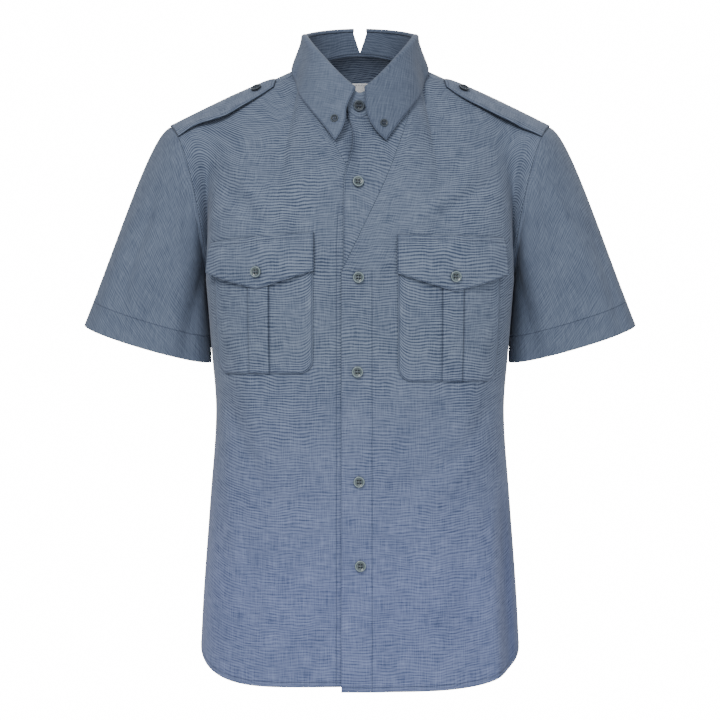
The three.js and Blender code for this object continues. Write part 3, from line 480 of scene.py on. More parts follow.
def stations(marks, step):
    """Numbers from the first mark to the last that hold every mark, no further apart than step."""
    out = [marks[0]]
    for a, b in zip(marks, marks[1:]):
        n = max(1, int(math.ceil((b - a) / step)))
        out += [a + (b - a) * (k + 1) / n for k in range(n)]
    return np.array(out)


def add_node(tree, kind, *sources, **values):
    """A shader node with its first inputs linked or set, and other inputs or settings by name."""
    made = tree.nodes.new("ShaderNode" + kind)
    for key, value in values.items():
        if hasattr(made, key):
            setattr(made, key, value)
        else:
            made.inputs[key.replace("_", " ")].default_value = value
    for k, source in enumerate(sources):
        if source is None:
            continue
        if isinstance(source, (int, float)):
            made.inputs[k].default_value = source
        else:
            tree.links.new(source, made.inputs[k])
    return made.outputs[0]


def maths(tree, operation, *sources):
    """One arithmetic step on a material's values."""
    return add_node(tree, "Math", *sources, operation=operation)


def coloured(tree, factor, dark, light):
    """A colour between two, by a factor."""
    made = tree.nodes.new("ShaderNodeMix")
    made.data_type = "RGBA"
    made.inputs[6].default_value = (*dark, 1)
    made.inputs[7].default_value = (*light, 1)
    tree.links.new(factor, made.inputs[0])
    return made.outputs[2]


def blended(tree, factor, first, second, blend="MIX"):
    """One colour laid over another by a factor; the second may be a plain colour."""
    made = tree.nodes.new("ShaderNodeMix")
    made.data_type = "RGBA"
    made.blend_type = blend
    tree.links.new(factor, made.inputs[0])
    tree.links.new(first, made.inputs[6])
    if isinstance(second, tuple):
        made.inputs[7].default_value = second
    else:
        tree.links.new(second, made.inputs[7])
    return made.outputs[2]


def new_material(name, roughness):
    """A new material with its nodes and shader, or the one that is there already and None for both."""
    made = bpy.data.materials.get(name)
    if made:
        return made, None, None
    made = bpy.data.materials.new(name)
    made.use_nodes = True
    shader = made.node_tree.nodes["Principled BSDF"]
    shader.inputs["Roughness"].default_value = roughness
    return made, made.node_tree, shader


def thread_axes(tree):
    """The place along and across the threads, in millimetres, from the piece's own map."""
    uv = tree.nodes.new("ShaderNodeUVMap")
    uv.uv_map = "thread"
    parts = tree.nodes.new("ShaderNodeSeparateXYZ")
    tree.links.new(uv.outputs[0], parts.inputs[0])
    return parts.outputs[0], parts.outputs[1]


def streaks(tree, u, v, long, wide, seed, detail=2.0):
    """Uneven yarns: noise drawn out to a length along u and a width along v, in millimetres."""
    ahead, beside = maths(tree, "MULTIPLY", u, 1 / long), maths(tree, "MULTIPLY", v, 1 / wide)
    place = add_node(tree, "CombineXYZ", ahead, beside, seed)
    return add_node(tree, "TexNoise", place, Scale=1.0, Detail=detail, Roughness=0.6)


def centred(tree, value, strength):
    """A value less one half, times a strength."""
    return maths(tree, "MULTIPLY", maths(tree, "SUBTRACT", value, 0.5), strength)


def total(tree, *values):
    """The sum of several values."""
    out = values[0]
    for value in values[1:]:
        out = maths(tree, "ADD", out, value)
    return out


def weave(tree, u, v, pitch):
    """Plain weave: the product of a wave across each set of threads."""
    across = maths(tree, "SINE", maths(tree, "MULTIPLY", u, 2 * math.pi / pitch))
    along = maths(tree, "SINE", maths(tree, "MULTIPLY", v, 2 * math.pi / pitch))
    return maths(tree, "MULTIPLY", across, along)


def watered(tree, u, v, pitch):
    """The watered look of fine chambray: close wavering lines along the weft, the sine of v shifted by
    wide and small noise."""
    wide = streaks(tree, u, v, 46.0, 40.0, 21.0, 1.0)
    small = streaks(tree, u, v, 9.0, 12.0, 27.0, 1.0)
    shift = total(tree, centred(tree, wide, 26.0), centred(tree, small, 2.6))
    phase = total(tree, maths(tree, "MULTIPLY", v, 2 * math.pi / pitch), shift)
    return maths(tree, "SINE", phase)


def sewn_groove(tree):
    """How close a point is to a sewn line, and how far the cloth puckers beside it."""
    near, pucker = None, None
    for key in ("row_a", "row_b"):
        far = tree.nodes.new("ShaderNodeAttribute")
        far.attribute_name = key
        squared = maths(tree, "MULTIPLY", far.outputs["Fac"], far.outputs["Fac"])
        close = maths(tree, "EXPONENT", maths(tree, "MULTIPLY", squared, -3.5))
        wide = maths(tree, "EXPONENT", maths(tree, "MULTIPLY", squared, -0.06))
        near = close if near is None else maths(tree, "MAXIMUM", near, close)
        pucker = wide if pucker is None else maths(tree, "MAXIMUM", pucker, wide)
    return near, pucker


def cloth_material():
    """Chambray: a dark blue warp under a pale weft, with uneven yarns both ways and a watered look. It is
    greyer over the chest and bluer towards the hem, and painted shade darkens it where a piece marks it."""
    made, tree, shader = new_material("chambray", 0.82)
    if tree is None:
        return made
    colours = finish()
    u, v = thread_axes(tree)
    warp = streaks(tree, v, u, *WARP_SLUB, 3.0)
    weft = streaks(tree, u, v, *WEFT_SLUB, 11.0)
    grain = weave(tree, u, v, WEAVE_PITCH)
    lines = watered(tree, u, v, WATERED_PITCH)
    place = tree.nodes.new("ShaderNodeTexCoord").outputs["Object"]
    mottle = add_node(tree, "TexNoise", place, Scale=30.0, Detail=2.0)
    patches = add_node(tree, "TexNoise", place, Scale=13.0, Detail=1.0)
    height = tree.nodes.new("ShaderNodeSeparateXYZ")
    tree.links.new(place, height.inputs[0])
    low = add_node(
        tree, "MapRange", height.outputs[2], From_Min=BLUER_FROM, From_Max=BLUER_TO, To_Min=0.0, To_Max=1.0
    )
    strong = add_node(tree, "MapRange", patches, From_Min=0.36, From_Max=0.6, To_Min=0.45, To_Max=1.0)
    strong = maths(tree, "MULTIPLY", strong, maths(tree, "SUBTRACT", 1.0, maths(tree, "MULTIPLY", low, 0.6)))
    free = tree.nodes.new("ShaderNodeAttribute")
    free.attribute_name = "plain"
    strong = maths(tree, "MULTIPLY", strong, maths(tree, "SUBTRACT", 1.0, free.outputs["Fac"]))
    uneven = total(
        tree,
        centred(tree, warp, 1.0),
        centred(tree, weft, 1.3),
        centred(tree, mottle, 0.3),
        maths(tree, "MULTIPLY", grain, 0.07),
        maths(tree, "MULTIPLY", maths(tree, "MULTIPLY", lines, strong), 0.42),
    )
    calm = maths(tree, "SUBTRACT", 1.0, maths(tree, "MULTIPLY", free.outputs["Fac"], 0.5))
    tone = add_node(tree, "Clamp", total(tree, maths(tree, "MULTIPLY", uneven, calm), 0.53))
    upper = coloured(tree, tone, colours.yarn_dark, colours.yarn_light)
    lower = coloured(tree, tone, colours.yarn_dark_low, colours.yarn_light_low)
    body = blended(tree, low, upper, lower)
    near, pucker = sewn_groove(tree)
    # painted shade in the groove of each sewn line
    body = blended(tree, maths(tree, "MULTIPLY", near, 0.5), body, GROOVE_SHADE_TINT, "MULTIPLY")
    # painted shade: darkens the cloth round its rims, on its inner faces and where a piece marks shade
    reverse = tree.nodes.new("ShaderNodeAttribute")
    reverse.attribute_name = "reverse"
    body = blended(tree, reverse.outputs["Fac"], body, SHADE_TINT, "MULTIPLY")
    tree.links.new(body, shader.inputs["Base Color"])
    tree.links.new(total(tree, maths(tree, "MULTIPLY", mottle, 0.12), 0.76), shader.inputs["Roughness"])
    shader.inputs["Sheen Weight"].default_value = 0.1
    shader.inputs["Sheen Roughness"].default_value = 0.5
    shader.inputs["Specular IOR Level"].default_value = 0.2
    crinkle = streaks(tree, u, v, 4.2, 4.2, 5.0)
    relief = total(
        tree,
        maths(tree, "MULTIPLY", grain, 0.12),
        maths(tree, "MULTIPLY", weft, 0.5),
        maths(tree, "MULTIPLY", warp, 0.35),
        maths(tree, "MULTIPLY", near, -1.8),
        maths(tree, "MULTIPLY", maths(tree, "MULTIPLY", crinkle, pucker), 3.4),
    )
    bump = add_node(tree, "Bump", Distance=0.0003, Strength=0.85)
    tree.links.new(relief, tree.nodes[-1].inputs["Height"])
    tree.links.new(bump, shader.inputs["Normal"])
    return made


def thread_material():
    """Sewing thread, from three quarters to five quarters of its colour by a fine noise."""
    made, tree, shader = new_material("sewing_thread", 0.6)
    if tree is None:
        return made
    place = tree.nodes.new("ShaderNodeTexCoord").outputs["Object"]
    twist = add_node(tree, "TexNoise", place, Scale=900.0, Detail=1.0)
    colour = finish().thread
    yarn = coloured(tree, twist, [c * 0.75 for c in colour], [c * 1.25 for c in colour])
    tree.links.new(yarn, shader.inputs["Base Color"])
    shader.inputs["Sheen Weight"].default_value = 0.2
    return made


def label_material():
    """White woven tape, fine ribs across."""
    made, tree, shader = new_material("label_tape", 0.7)
    if tree is None:
        return made
    u, v = thread_axes(tree)
    rib = maths(tree, "SINE", maths(tree, "MULTIPLY", v, 2 * math.pi / 0.5))
    edge = streaks(tree, u, v, 0.3, 0.6, 2.0)
    colour = finish().label
    tree.links.new(coloured(tree, edge, [c * 0.94 for c in colour], colour), shader.inputs["Base Color"])
    bump = add_node(tree, "Bump", Distance=0.0001, Strength=0.5)
    tree.links.new(rib, tree.nodes[-1].inputs["Height"])
    tree.links.new(bump, shader.inputs["Normal"])
    return made


def button_material(name, colour, gloss=1.0):
    """Pearly plastic: a clouded swirl, with a painted highlight along the top of its rim and painted
    shade in the holes, round the edge and underneath.
    """
    made, tree, shader = new_material(name, mix(0.5, 0.3, gloss))
    if tree is None:
        return made
    place = tree.nodes.new("ShaderNodeTexCoord").outputs["Object"]
    cloud = add_node(tree, "TexNoise", place, Scale=260.0, Detail=3.0, Distortion=1.5)
    body = coloured(tree, cloud, [c * 0.7 for c in colour], [min(1.0, c * 1.35) for c in colour])
    depth = tree.nodes.new("ShaderNodeAttribute")
    depth.attribute_name = "depth"
    rim = tree.nodes.new("ShaderNodeAttribute")
    rim.attribute_name = "rim"
    # painted highlight: the top of the raised rim is paler, more so on a glossy button
    pale = tuple(min(1.0, c * 2.6 + 0.04 * gloss) for c in colour) + (1,)
    body = blended(tree, rim.outputs["Fac"], body, pale)
    # painted shade in the holes, round the edge and underneath
    body = blended(tree, depth.outputs["Fac"], body, BUTTON_SHADE_COLOUR)
    tree.links.new(body, shader.inputs["Base Color"])
    shader.inputs["Coat Weight"].default_value = 0.35 * gloss
    shader.inputs["Specular IOR Level"].default_value = 0.2 + 0.3 * gloss
    shader.inputs["Coat Roughness"].default_value = 0.15
    return made


def floor_material():
    """A pale floor with a grain of one percent."""
    made, tree, shader = new_material("studio_floor", 0.9)
    if tree is None:
        return made
    place = tree.nodes.new("ShaderNodeTexCoord").outputs["Object"]
    grain = add_node(tree, "TexNoise", place, Scale=40.0)
    colour = finish().floor
    tree.links.new(coloured(tree, grain, [c * 0.99 for c in colour], colour), shader.inputs["Base Color"])
    return made


def mesh_object(name, points, faces, material, uv=None, attributes=None):
    """One mesh from whole arrays: points in millimetres, faces of one size, a map and values a point."""
    mesh = bpy.data.meshes.new(name)
    faces = np.asarray(faces, np.int32)
    corners = faces.shape[1]
    mesh.vertices.add(len(points))
    mesh.vertices.foreach_set("co", (np.asarray(points) * MM).astype(np.float32).ravel())
    mesh.loops.add(faces.size)
    mesh.loops.foreach_set("vertex_index", faces.ravel())
    mesh.polygons.add(len(faces))
    mesh.polygons.foreach_set("loop_start", np.arange(0, faces.size, corners, dtype=np.int32))
    mesh.polygons.foreach_set("loop_total", np.full(len(faces), corners, np.int32))
    mesh.polygons.foreach_set("use_smooth", np.ones(len(faces), bool))
    if uv is not None:
        layer = mesh.uv_layers.new(name="thread")
        layer.data.foreach_set("uv", np.asarray(uv, np.float32)[faces.ravel()].ravel())
    for key, values in (attributes or {}).items():
        layer = mesh.attributes.new(key, "FLOAT", "POINT")
        layer.data.foreach_set("value", np.asarray(values, np.float32).ravel())
    mesh.update(calc_edges=True)
    if mesh.validate():
        raise RuntimeError(f"{name} has faces that had to be corrected")
    obj = bpy.data.objects.new(name, mesh)
    bpy.context.scene.collection.objects.link(obj)
    mesh.materials.append(material)
    return obj


def close_up(obj):
    """Merges points that meet and turns all faces out."""
    shape = bmesh.new()
    shape.from_mesh(obj.data)
    bmesh.ops.remove_doubles(shape, verts=shape.verts, dist=1e-6)
    bmesh.ops.recalc_face_normals(shape, faces=shape.faces)
    shape.to_mesh(obj.data)
    shape.free()


def shell(name, base, normal, lift, thick, material, uv, attributes, shade=0.0, reverse=0.5):
    """A wall of cloth on a grid of points: an outer face moved out along the normals by lift plus thick,
    an inner one by lift, and rims that close the four edges."""
    rows, columns = base.shape[:2]
    lift, thick = np.broadcast_to(lift, (rows, columns)), np.broadcast_to(thick, (rows, columns))
    outer = base + normal * (lift + thick)[..., None]
    inner = base + normal * lift[..., None]
    count = rows * columns
    ids = np.arange(count).reshape(rows, columns)
    quads = np.stack([ids[:-1, :-1], ids[1:, :-1], ids[1:, 1:], ids[:-1, 1:]], -1).reshape(-1, 4)
    faces = [quads, quads[:, ::-1] + count]
    for line in (ids[:, 0], ids[:, -1], ids[0, :], ids[-1, :]):
        faces.append(np.stack([line[:-1], line[1:], line[1:] + count, line[:-1] + count], -1))
    points = np.concatenate([outer.reshape(-1, 3), inner.reshape(-1, 3)])
    both = {}
    for key, values in attributes.items():
        both[key] = np.concatenate([np.broadcast_to(values, (rows, columns)).ravel()] * 2)
    # the painted shade of the outer face and of the inner face, kept in one attribute
    sides = [np.broadcast_to(values, (rows, columns)).ravel() for values in (shade, reverse)]
    both["reverse"] = np.concatenate(sides)
    maps = np.concatenate([uv.reshape(-1, 2)] * 2)
    obj = mesh_object(name, points, np.concatenate(faces), material, maps, both)
    close_up(obj)
    return obj, outer


def seat(obj, *nodes, slot="shirting"):
    """Fixes a piece to the shirt's body and hides the nodes that it stands for."""
    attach(obj, "root")
    if nodes:
        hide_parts(*nodes)
    return obj


def declare(base, flat=False):
    """Works out a piece's greatest width and length along its threads, and its area, but keeps none of them.
    A small piece that lies flat is measured along its own longest direction instead."""
    wide = float(arc(base)[-1].max())
    long = float(arc(base.transpose(1, 0, 2))[-1].max())
    if flat:
        spread = base.reshape(-1, 3) - base.reshape(-1, 3).mean(axis=0)
        axes = np.linalg.svd(spread[::7], full_matrices=False)[2]
        long, wide = (float(np.ptp(spread @ axis)) for axis in axes[:2])
    wide, long = wide * MM, long * MM
    d1, d2 = np.diff(base, axis=0)[:, :-1], np.diff(base, axis=1)[:-1]
    area = float(np.linalg.norm(np.cross(d1, d2), axis=-1).sum()) * MM * MM
    area = min(area, 0.999 * wide * long)


def panel_map(base):
    """Distances in millimetres across and along a panel, from its first column and row."""
    u = arc(base)
    v = arc(base.transpose(1, 0, 2)).transpose(1, 0)
    return np.stack([u, v], -1)


def border_distances(uv):
    """How far each point is, along the cloth, from a panel's start and end across and its first and last
    row."""
    u, v = uv[..., 0], uv[..., 1]
    return u, u[-1:] - u, v, v[:, -1:] - v


def edge_rows(line, *edges):
    """The field of a line sewn at a distance from some of a panel's four borders: how far a point is from
    the nearest of them, less that distance."""
    return lambda uv: np.minimum.reduce([border_distances(uv)[k] for k in edges]) - line


def cloth_panel(
    name,
    base,
    normal,
    lift=0.0,
    rise=0.0,
    row_a=None,
    row_b=None,
    flat=False,
    turn=0.0,
    plain=0.0,
    reverse=0.5,
    rim=0.25,
    shade=0.0,
):
    """A cut piece as a thin wall whose edges round off over the roll of a folded or sewn edge."""
    uv = panel_map(base)
    edge = np.minimum.reduce(border_distances(uv))
    roll = np.sqrt(1 - (1 - np.clip(edge / (settings().roll / MM), 0, 1)) ** 2)
    thick = CLOTH * (0.4 + 0.6 * roll) + rise
    far = np.full(base.shape[:2], FAR)
    rows = {
        "row_a": far if row_a is None else row_a(uv),
        "row_b": far if row_b is None else row_b(uv),
        "plain": np.full(base.shape[:2], plain),
    }
    # painted shade: the outer face darkens towards its turned rims and by the given shade, the inner face by
    # its own amount
    shade = np.maximum(rim * (1 - smooth(edge / 1.1)), shade)
    c, s = math.cos(turn), math.sin(turn)
    grain = uv @ np.array([[c, -s], [s, c]])
    cloth = cloth_material()
    obj, outer = shell(f"cloth_{name}", base, normal, lift, thick, cloth, grain, rows, shade, reverse)
    declare(base, flat)
    seat(obj, name)
    return outer, uv, unit(normal)


def line_at(field, level, *grids):
    """Where a field that rises along the second axis reaches a level, in each row of a grid."""
    k = np.clip((field < level).sum(axis=1) - 1, 0, field.shape[1] - 2)
    r = np.arange(field.shape[0])
    a, b = field[r, k], field[r, k + 1]
    t = np.clip((level - a) / np.where(b - a > 1e-9, b - a, 1), 0, 1)[:, None]
    return [mix(g[r, k], g[r, k + 1], t) for g in grids]


def line_across(field, level, *grids):
    """As line_at, for a field that rises along the first axis."""
    return line_at(field.T, level, *[g.transpose(1, 0, 2) for g in grids])


def sew(name, lines):
    """Running stitches: small spindles along each line of points, standing on the normals there."""
    sizes = settings()
    pitch, length, radius = sizes.stitch_pitch / MM, sizes.stitch_length / MM, sizes.thread / MM
    centres, tangents, ups = [], [], []
    for points, normals in lines:
        d = arc(points)
        n = int(d[-1] // pitch)
        if n < 1:
            continue
        at = (np.arange(n) + 0.5) * d[-1] / n
        for ahead, into in ((0, centres), (0.6, tangents)):
            into.append(np.stack([np.interp(at + ahead, d, points[:, k]) for k in range(3)], -1))
        before = np.stack([np.interp(at - 0.6, d, points[:, k]) for k in range(3)], -1)
        tangents[-1] = unit(tangents[-1] - before)
        ups.append(unit(np.stack([np.interp(at, d, normals[:, k]) for k in range(3)], -1)))
    c, t, n = np.concatenate(centres), np.concatenate(tangents), np.concatenate(ups)
    side = unit(np.cross(t, n))
    n = np.cross(side, t)
    sides = 6
    turn = np.arange(sides) * 2 * math.pi / sides
    rings = [(-0.62, 0.75), (0.0, 1.0), (0.62, 0.75)]
    shape = [(-1.0, 0.0, 0.0)]
    shape += [(x, r * math.cos(a), r * math.sin(a)) for x, r in rings for a in turn]
    shape += [(1.0, 0.0, 0.0)]
    shape = np.array(shape)
    size = np.array([length / 2, radius, radius])
    # the ends dip into the cloth
    lift = radius * (0.35 - 1.1 * shape[:, 0] ** 4)
    local = shape * size
    points = c[:, None] + t[:, None] * local[None, :, :1] + n[:, None] * (local[:, 1] + lift)[None, :, None]
    points = points + side[:, None] * local[None, :, 2:]
    faces = []
    for k in range(sides):
        m = (k + 1) % sides
        faces.append((0, 1 + m, 1 + k))
        for ring in range(2):
            a, b = 1 + ring * sides + k, 1 + ring * sides + m
            faces += [(a, b, b + sides), (a, b + sides, a + sides)]
        faces.append((1 + 2 * sides + k, 1 + 2 * sides + m, 1 + 3 * sides))
    faces = np.array(faces)
    count = len(shape)
    every = (faces[None] + (np.arange(len(c)) * count)[:, None, None]).reshape(-1, 3)
    obj = mesh_object(name, points.reshape(-1, 3), every, thread_material())
    close_up(obj)
    return seat(obj)


def yoke_front_share(across):
    """The share of the way up to the ridge at which the fronts end: all of it at the neck."""
    return 1 - YOKE["front"] * smooth((np.abs(across) - NECK_ACROSS) / YOKE["ease"])


def overlap_lift(x):
    """How far the left front lies over the right one: a full layer's step, let down past the overlap."""
    return OVERLAP_LIFT * (1 - smooth((x - 14) / 28))


def front_row(across, row):
    """A point of a front: row 0 to 1 from hem to chest, 1 to 2 from the chest to the yoke or the neck."""
    height = np.where(row <= 1, row, 1 + (row - 1) * yoke_front_share(across))
    return form_point("front", across, height), height


def across_at_edge(side, rows, edge_x):
    """Where rows of a front cross an edge that is given as x against z, by halving."""
    low, high = np.full(rows.shape, -0.3), np.full(rows.shape, NECK_ACROSS)
    for _ in range(32):
        middle = (low + high) / 2
        point, _h = front_row(side * middle, rows)
        below = side * point[..., 0] < edge_x(point[..., 2])
        low, high = np.where(below, middle, low), np.where(below, high, middle)
    return (low + high) / 2


V_TOP = neck_point("front", np.array(V_TOP_ACROSS))
HEM_ROWS = [0.0, 0.0006, 0.0015, 0.003, 0.006, 0.009, 0.012, 0.0135, 0.016, 0.022]
FRONT_ROWS = np.concatenate(
    [HEM_ROWS[:-1], stations([0.022, 1.0], 0.0066)[:-1], stations([1.0, 1.99, 1.997, 2.0], 0.0125)]
)
EDGE_SHARES = [0.0, 0.0015, 0.004, 0.01, 0.02, 0.98, 0.995, 0.9985, 1.0]


def v_edge(side, z):
    """A front's inner edge: the slanted line above the foot of the inset, and straight down below it."""
    table = (LEFT_V if side > 0 else RIGHT_V) + [(float(V_TOP[2]), float(V_TOP[0]))]
    flat = LEFT_EDGE_X if side > 0 else -RIGHT_EDGE_X
    return np.where(z < table[0][0], flat, edge_at(table, z))


def name_of(side):
    """The wearer's side."""
    return "left" if side > 0 else "right"


def front_shade(base):
    """How dark a front is beyond its lighting: its facet at the left hem, the middle of the chest and the
    slope below the shoulders."""
    x, z = base[..., 0], base[..., 2]
    facet = 0.28 * smooth((x - 156) / 6) * smooth((-478 - z) / 60)
    chest = 0.09 * bell(x, 52) * smooth((z + 330) / 90)
    return facet + chest + 0.07 * smooth((z + 150) / 40)


def make_front(side):
    """A front: lines across the form from its slanted and upright edge to the side seam. The left one is
    lifted where it laps over the right one."""
    rows = FRONT_ROWS
    edge = across_at_edge(side, rows, lambda z: v_edge(side, z))
    edge[-1] = V_TOP_ACROSS
    shares = stations(EDGE_SHARES, 0.0088)
    across = side * mix(edge[None, :], 1.0, shares[:, None])
    base, _height = front_row(across, rows[None, :])
    if side < 0:
        low = np.clip(1 - (rows - 0.02) / 0.2, 0, 1)
        base[..., 2] += HEM["right_up"] * (1 - smooth(shares * 1.2))[:, None] * smooth(low)[None, :]
    normal = grid_normals(base, np.array([0, -1, 0.0]))
    lift = overlap_lift(base[..., 0]) if side > 0 else 0.0
    below = base[..., 2] < (LEFT_V if side > 0 else RIGHT_V)[0][0]
    placket = settings().placket / MM
    outer, uv, up = cloth_panel(
        f"front_{name_of(side)}",
        base,
        normal,
        lift,
        row_a=edge_rows(HEM_LINE, 2),
        row_b=lambda m: np.where(below, m[..., 0] - placket, FAR),
        shade=front_shade(base),
    )
    lines = [line_at(uv[..., 1], HEM_LINE, outer, up)]
    run = line_across(uv[..., 0], placket, outer, up)
    keep = np.where(below[0])[0]
    lines.append([g[: keep[-1] - 4] for g in run])
    return lines


def make_inset(side):
    """The piece between a front's slanted edge and the placket: lines across the form between them."""
    table = LEFT_V if side > 0 else RIGHT_V
    rows = FRONT_ROWS[FRONT_ROWS > 1.0]
    edge = across_at_edge(side, rows, lambda z: v_edge(side, z))
    edge[-1] = V_TOP_ACROSS
    if side > 0:
        inner = across_at_edge(side, rows, lambda z: edge_at(LEFT_INSET, z))
    else:
        inner = across_at_edge(side, rows, lambda z: np.full_like(z, -RIGHT_EDGE_X))
    keep = front_row(side * edge, rows)[0][..., 2] >= table[0][0] - 1
    rows, edge, inner = rows[keep], edge[keep], inner[keep]
    shares = stations([0.0, 0.01, 0.03, 0.97, 0.99, 1.0], 1 / 44)
    across = side * mix(np.minimum(inner, edge - 0.001)[None, :], edge[None, :], shares[:, None])
    base, _height = front_row(across, rows[None, :])
    normal = grid_normals(base, np.array([0, -1, 0.0]))
    lift = overlap_lift(base[..., 0]) if side > 0 else 0.0
    # painted shade as on the fronts, with a painted shadow just below the point of the right collar leaf
    outer, uv, up = cloth_panel(
        f"neck_inset_{name_of(side)}",
        base,
        normal,
        lift,
        row_a=edge_rows(EDGE_LINE, 0),
        flat=True,
        shade=front_shade(base) + 0.4 * bell(base[..., 0] + 10, 7) * bell(base[..., 2] + 104, 20),
    )
    return [line_across(uv[..., 0], EDGE_LINE, outer, up)]


def back_yoke_height(across):
    """The form's height at which the back reaches the level of the yoke's seam, by halving."""
    low, high = np.ones(across.shape), np.full(across.shape, 2.0)
    for _ in range(32):
        middle = (low + high) / 2
        below = form_point("back", across, middle)[..., 2] < YOKE["back"]
        low, high = np.where(below, middle, low), np.where(below, high, middle)
    return (low + high) / 2


def make_back():
    """The back: lines up the form from the hem to the height of the yoke's seam."""
    across = stations([-1.0, -0.997, -0.99, 0.99, 0.997, 1.0], 0.0105)
    upper = stations([1.0, 1.97, 1.99, 2.0], 0.02)
    rows = np.concatenate([HEM_ROWS[:-1], stations([0.022, 1.0], 0.0075)[:-1], upper])
    top = back_yoke_height(across)
    height = np.where(rows[None, :] <= 1, rows[None, :], 1 + (rows[None, :] - 1) * (top[:, None] - 1))
    base = form_point("back", np.broadcast_to(across[:, None], height.shape), height)
    normal = grid_normals(base, np.array([0, 1, 0.0]))
    outer, uv, up = cloth_panel("back", base, normal, row_a=edge_rows(HEM_LINE, 2))
    return [line_at(uv[..., 1], HEM_LINE, outer, up)]


def make_yoke():
    """Over both shoulders. In the neck's width its rows all start at the neck edge; from the side neck point
    outwards they start at the front seam."""
    across = stations([-1.0, -0.997, -0.99, -NECK_ACROSS, NECK_ACROSS, 0.99, 0.997, 1.0], 0.012)
    down = stations([-1.0, -0.96, 0.0, 0.96, 0.985, 1.0], 0.045)
    share, seam = yoke_front_share(across)[:, None], back_yoke_height(across)[:, None]
    ahead = form_point("front", across[:, None], mix(2, 1 + share, np.clip(-down, 0, 1)[None, :]))
    behind = form_point("back", across[:, None], mix(2, seam, np.clip(down, 0, 1)[None, :]))
    inside = (np.abs(across) < NECK_ACROSS - 1e-9)[:, None]
    base = np.where(((down < 0)[None, :] & ~inside)[..., None], ahead, behind)
    blend = (np.abs(across)[:, None] / NECK_ACROSS) ** 6
    glide = mix((down[None, :] + 1) / 2, np.clip(down, 0, 1)[None, :], blend)
    slid = form_point("back", across[:, None], mix(2, seam, glide))
    base = np.where(inside[..., None], slid, base)
    normal = settled_normals(base, grid_normals(base, np.array([0, 0, 1.0])))
    outer, uv, up = cloth_panel("yoke", base, normal, row_a=edge_rows(EDGE_LINE, 3), reverse=0.0)
    back_line = line_at(uv[..., 1] - uv[:, -1:, 1], -EDGE_LINE, outer, up)
    lines = [back_line]
    for part in (across < -NECK_ACROSS - 0.03, across > NECK_ACROSS + 0.03):
        lines.append(line_at(uv[part, :, 1], EDGE_LINE, outer[part], up[part]))
    return lines


def settled_normals(base, normal):
    """Where rows meet at an edge the grid has no area, so the nearest row that has some is used."""
    good = np.linalg.norm(np.gradient(base, axis=1), axis=-1) > 0.05
    out = normal.copy()
    for i in range(base.shape[0]):
        rows = np.where(good[i])[0]
        if len(rows):
            out[i] = normal[i, rows[np.abs(np.arange(base.shape[1])[:, None] - rows[None, :]).argmin(1)]]
    return unit(out)


def armhole(side, count):
    """The armhole's points, up the front and down the back, with the share of the top along each."""
    h = stations([1.0, 2.0], 0.004)
    ring, lengths = [], []
    for face, heights in (("front", h), ("back", h[::-1])):
        line = form_point(face, np.full(h.shape, float(side)), heights)
        d = arc(line)
        at = np.linspace(0, d[-1], count)
        ring.append(np.stack([np.interp(at, d, line[:, k]) for k in range(3)], -1))
        lengths.append(at / d[-1])
    points = np.concatenate([ring[0], ring[1][1:]])
    share = np.concatenate([1 - lengths[0], lengths[1][1:]])
    return points, share, np.arange(len(points)) < count


def make_sleeve(side):
    """A tube from the armhole to an oval hem: each line leaves the seam outwards and turns down in one
    curve; folds are bells across slanting lines on it."""
    ring, share, ahead = armhole(side, 64)
    start = ring * np.array([side, 1, 1])
    angle = share * math.pi
    under = ((1 - np.cos(angle)) / 2)[:, None]
    outer_end, inner_end = np.array(SLEEVE["outer"]), np.array(SLEEVE["inner"])
    end = (outer_end + inner_end) / 2 + (outer_end - inner_end) / 2 * np.cos(angle)[:, None]
    end[:, 1] += np.where(ahead, -1, 1) * SLEEVE["depth"] * np.sin(angle)
    end[:, 2] -= SLEEVE["sag"] * np.sin(angle)
    out = mix(np.array([0.8, 0, -0.6]), np.array([1.0, 0, 0]), under)
    turn = mix(np.array([0.8, 0, -0.6]), np.array([0.0, 0, -1]), under)
    down = mix(np.array([0.37, 0, -0.93]), np.array([0.0, 0, -1]), under)
    foot = start + out * (3.6 + 1.5 * np.sin(angle))[:, None]
    leave = foot + turn * mix(28.0, 30.0, under)
    arrive = end - down * mix(110.0, 40.0, under)
    along = stations([0.0, 0.86, 0.9, 0.985, 0.994, 0.998, 1.0], 0.0105)
    strip = [mix(start, foot, t) for t in (0.0, 0.12, 0.3, 0.65)]
    base = np.stack(strip + [bezier(foot, leave, arrive, end, t) for t in along], 1) * np.array([side, 1, 1])
    normal = grid_normals(base, base - base.mean(axis=0, keepdims=True))
    uv = panel_map(base)
    ring_share = uv[..., 0] / uv[-1:, :, 0]
    girth = uv[-1:, :, 0]
    depth = np.zeros(base.shape[:2])
    for who, r0, v0, r1, v1, width, deep in SLEEVE_FOLDS:
        if who not in (0, side):
            continue
        t = (uv[..., 1] - v0) / (v1 - v0)
        off = (ring_share - mix(r0, r1, t)) * girth + 0.2 * width * np.sin(6 * t + 20 * r0)
        ends = smooth((t + 0.2) / 0.45) * smooth((1.3 - t) / 0.5)
        depth += deep * settings().crease * ends * bell(off, width)
    border = smooth(np.minimum(ring_share, 1 - ring_share) * 14) * smooth(uv[..., 1] / 14)
    base = base + normal * (depth * border)[..., None]
    normal = grid_normals(base, base - base.mean(axis=0, keepdims=True))
    band = settings().sleeve_hem / MM
    # painted shade darkens the sleeves' outer face a little
    outer, uv, up = cloth_panel(
        f"sleeve_{name_of(side)}", base, normal, row_a=edge_rows(band, 3), plain=0.6, shade=0.13
    )
    return [line_at(uv[..., 1] - uv[:, -1:, 1], -band, outer, up)]


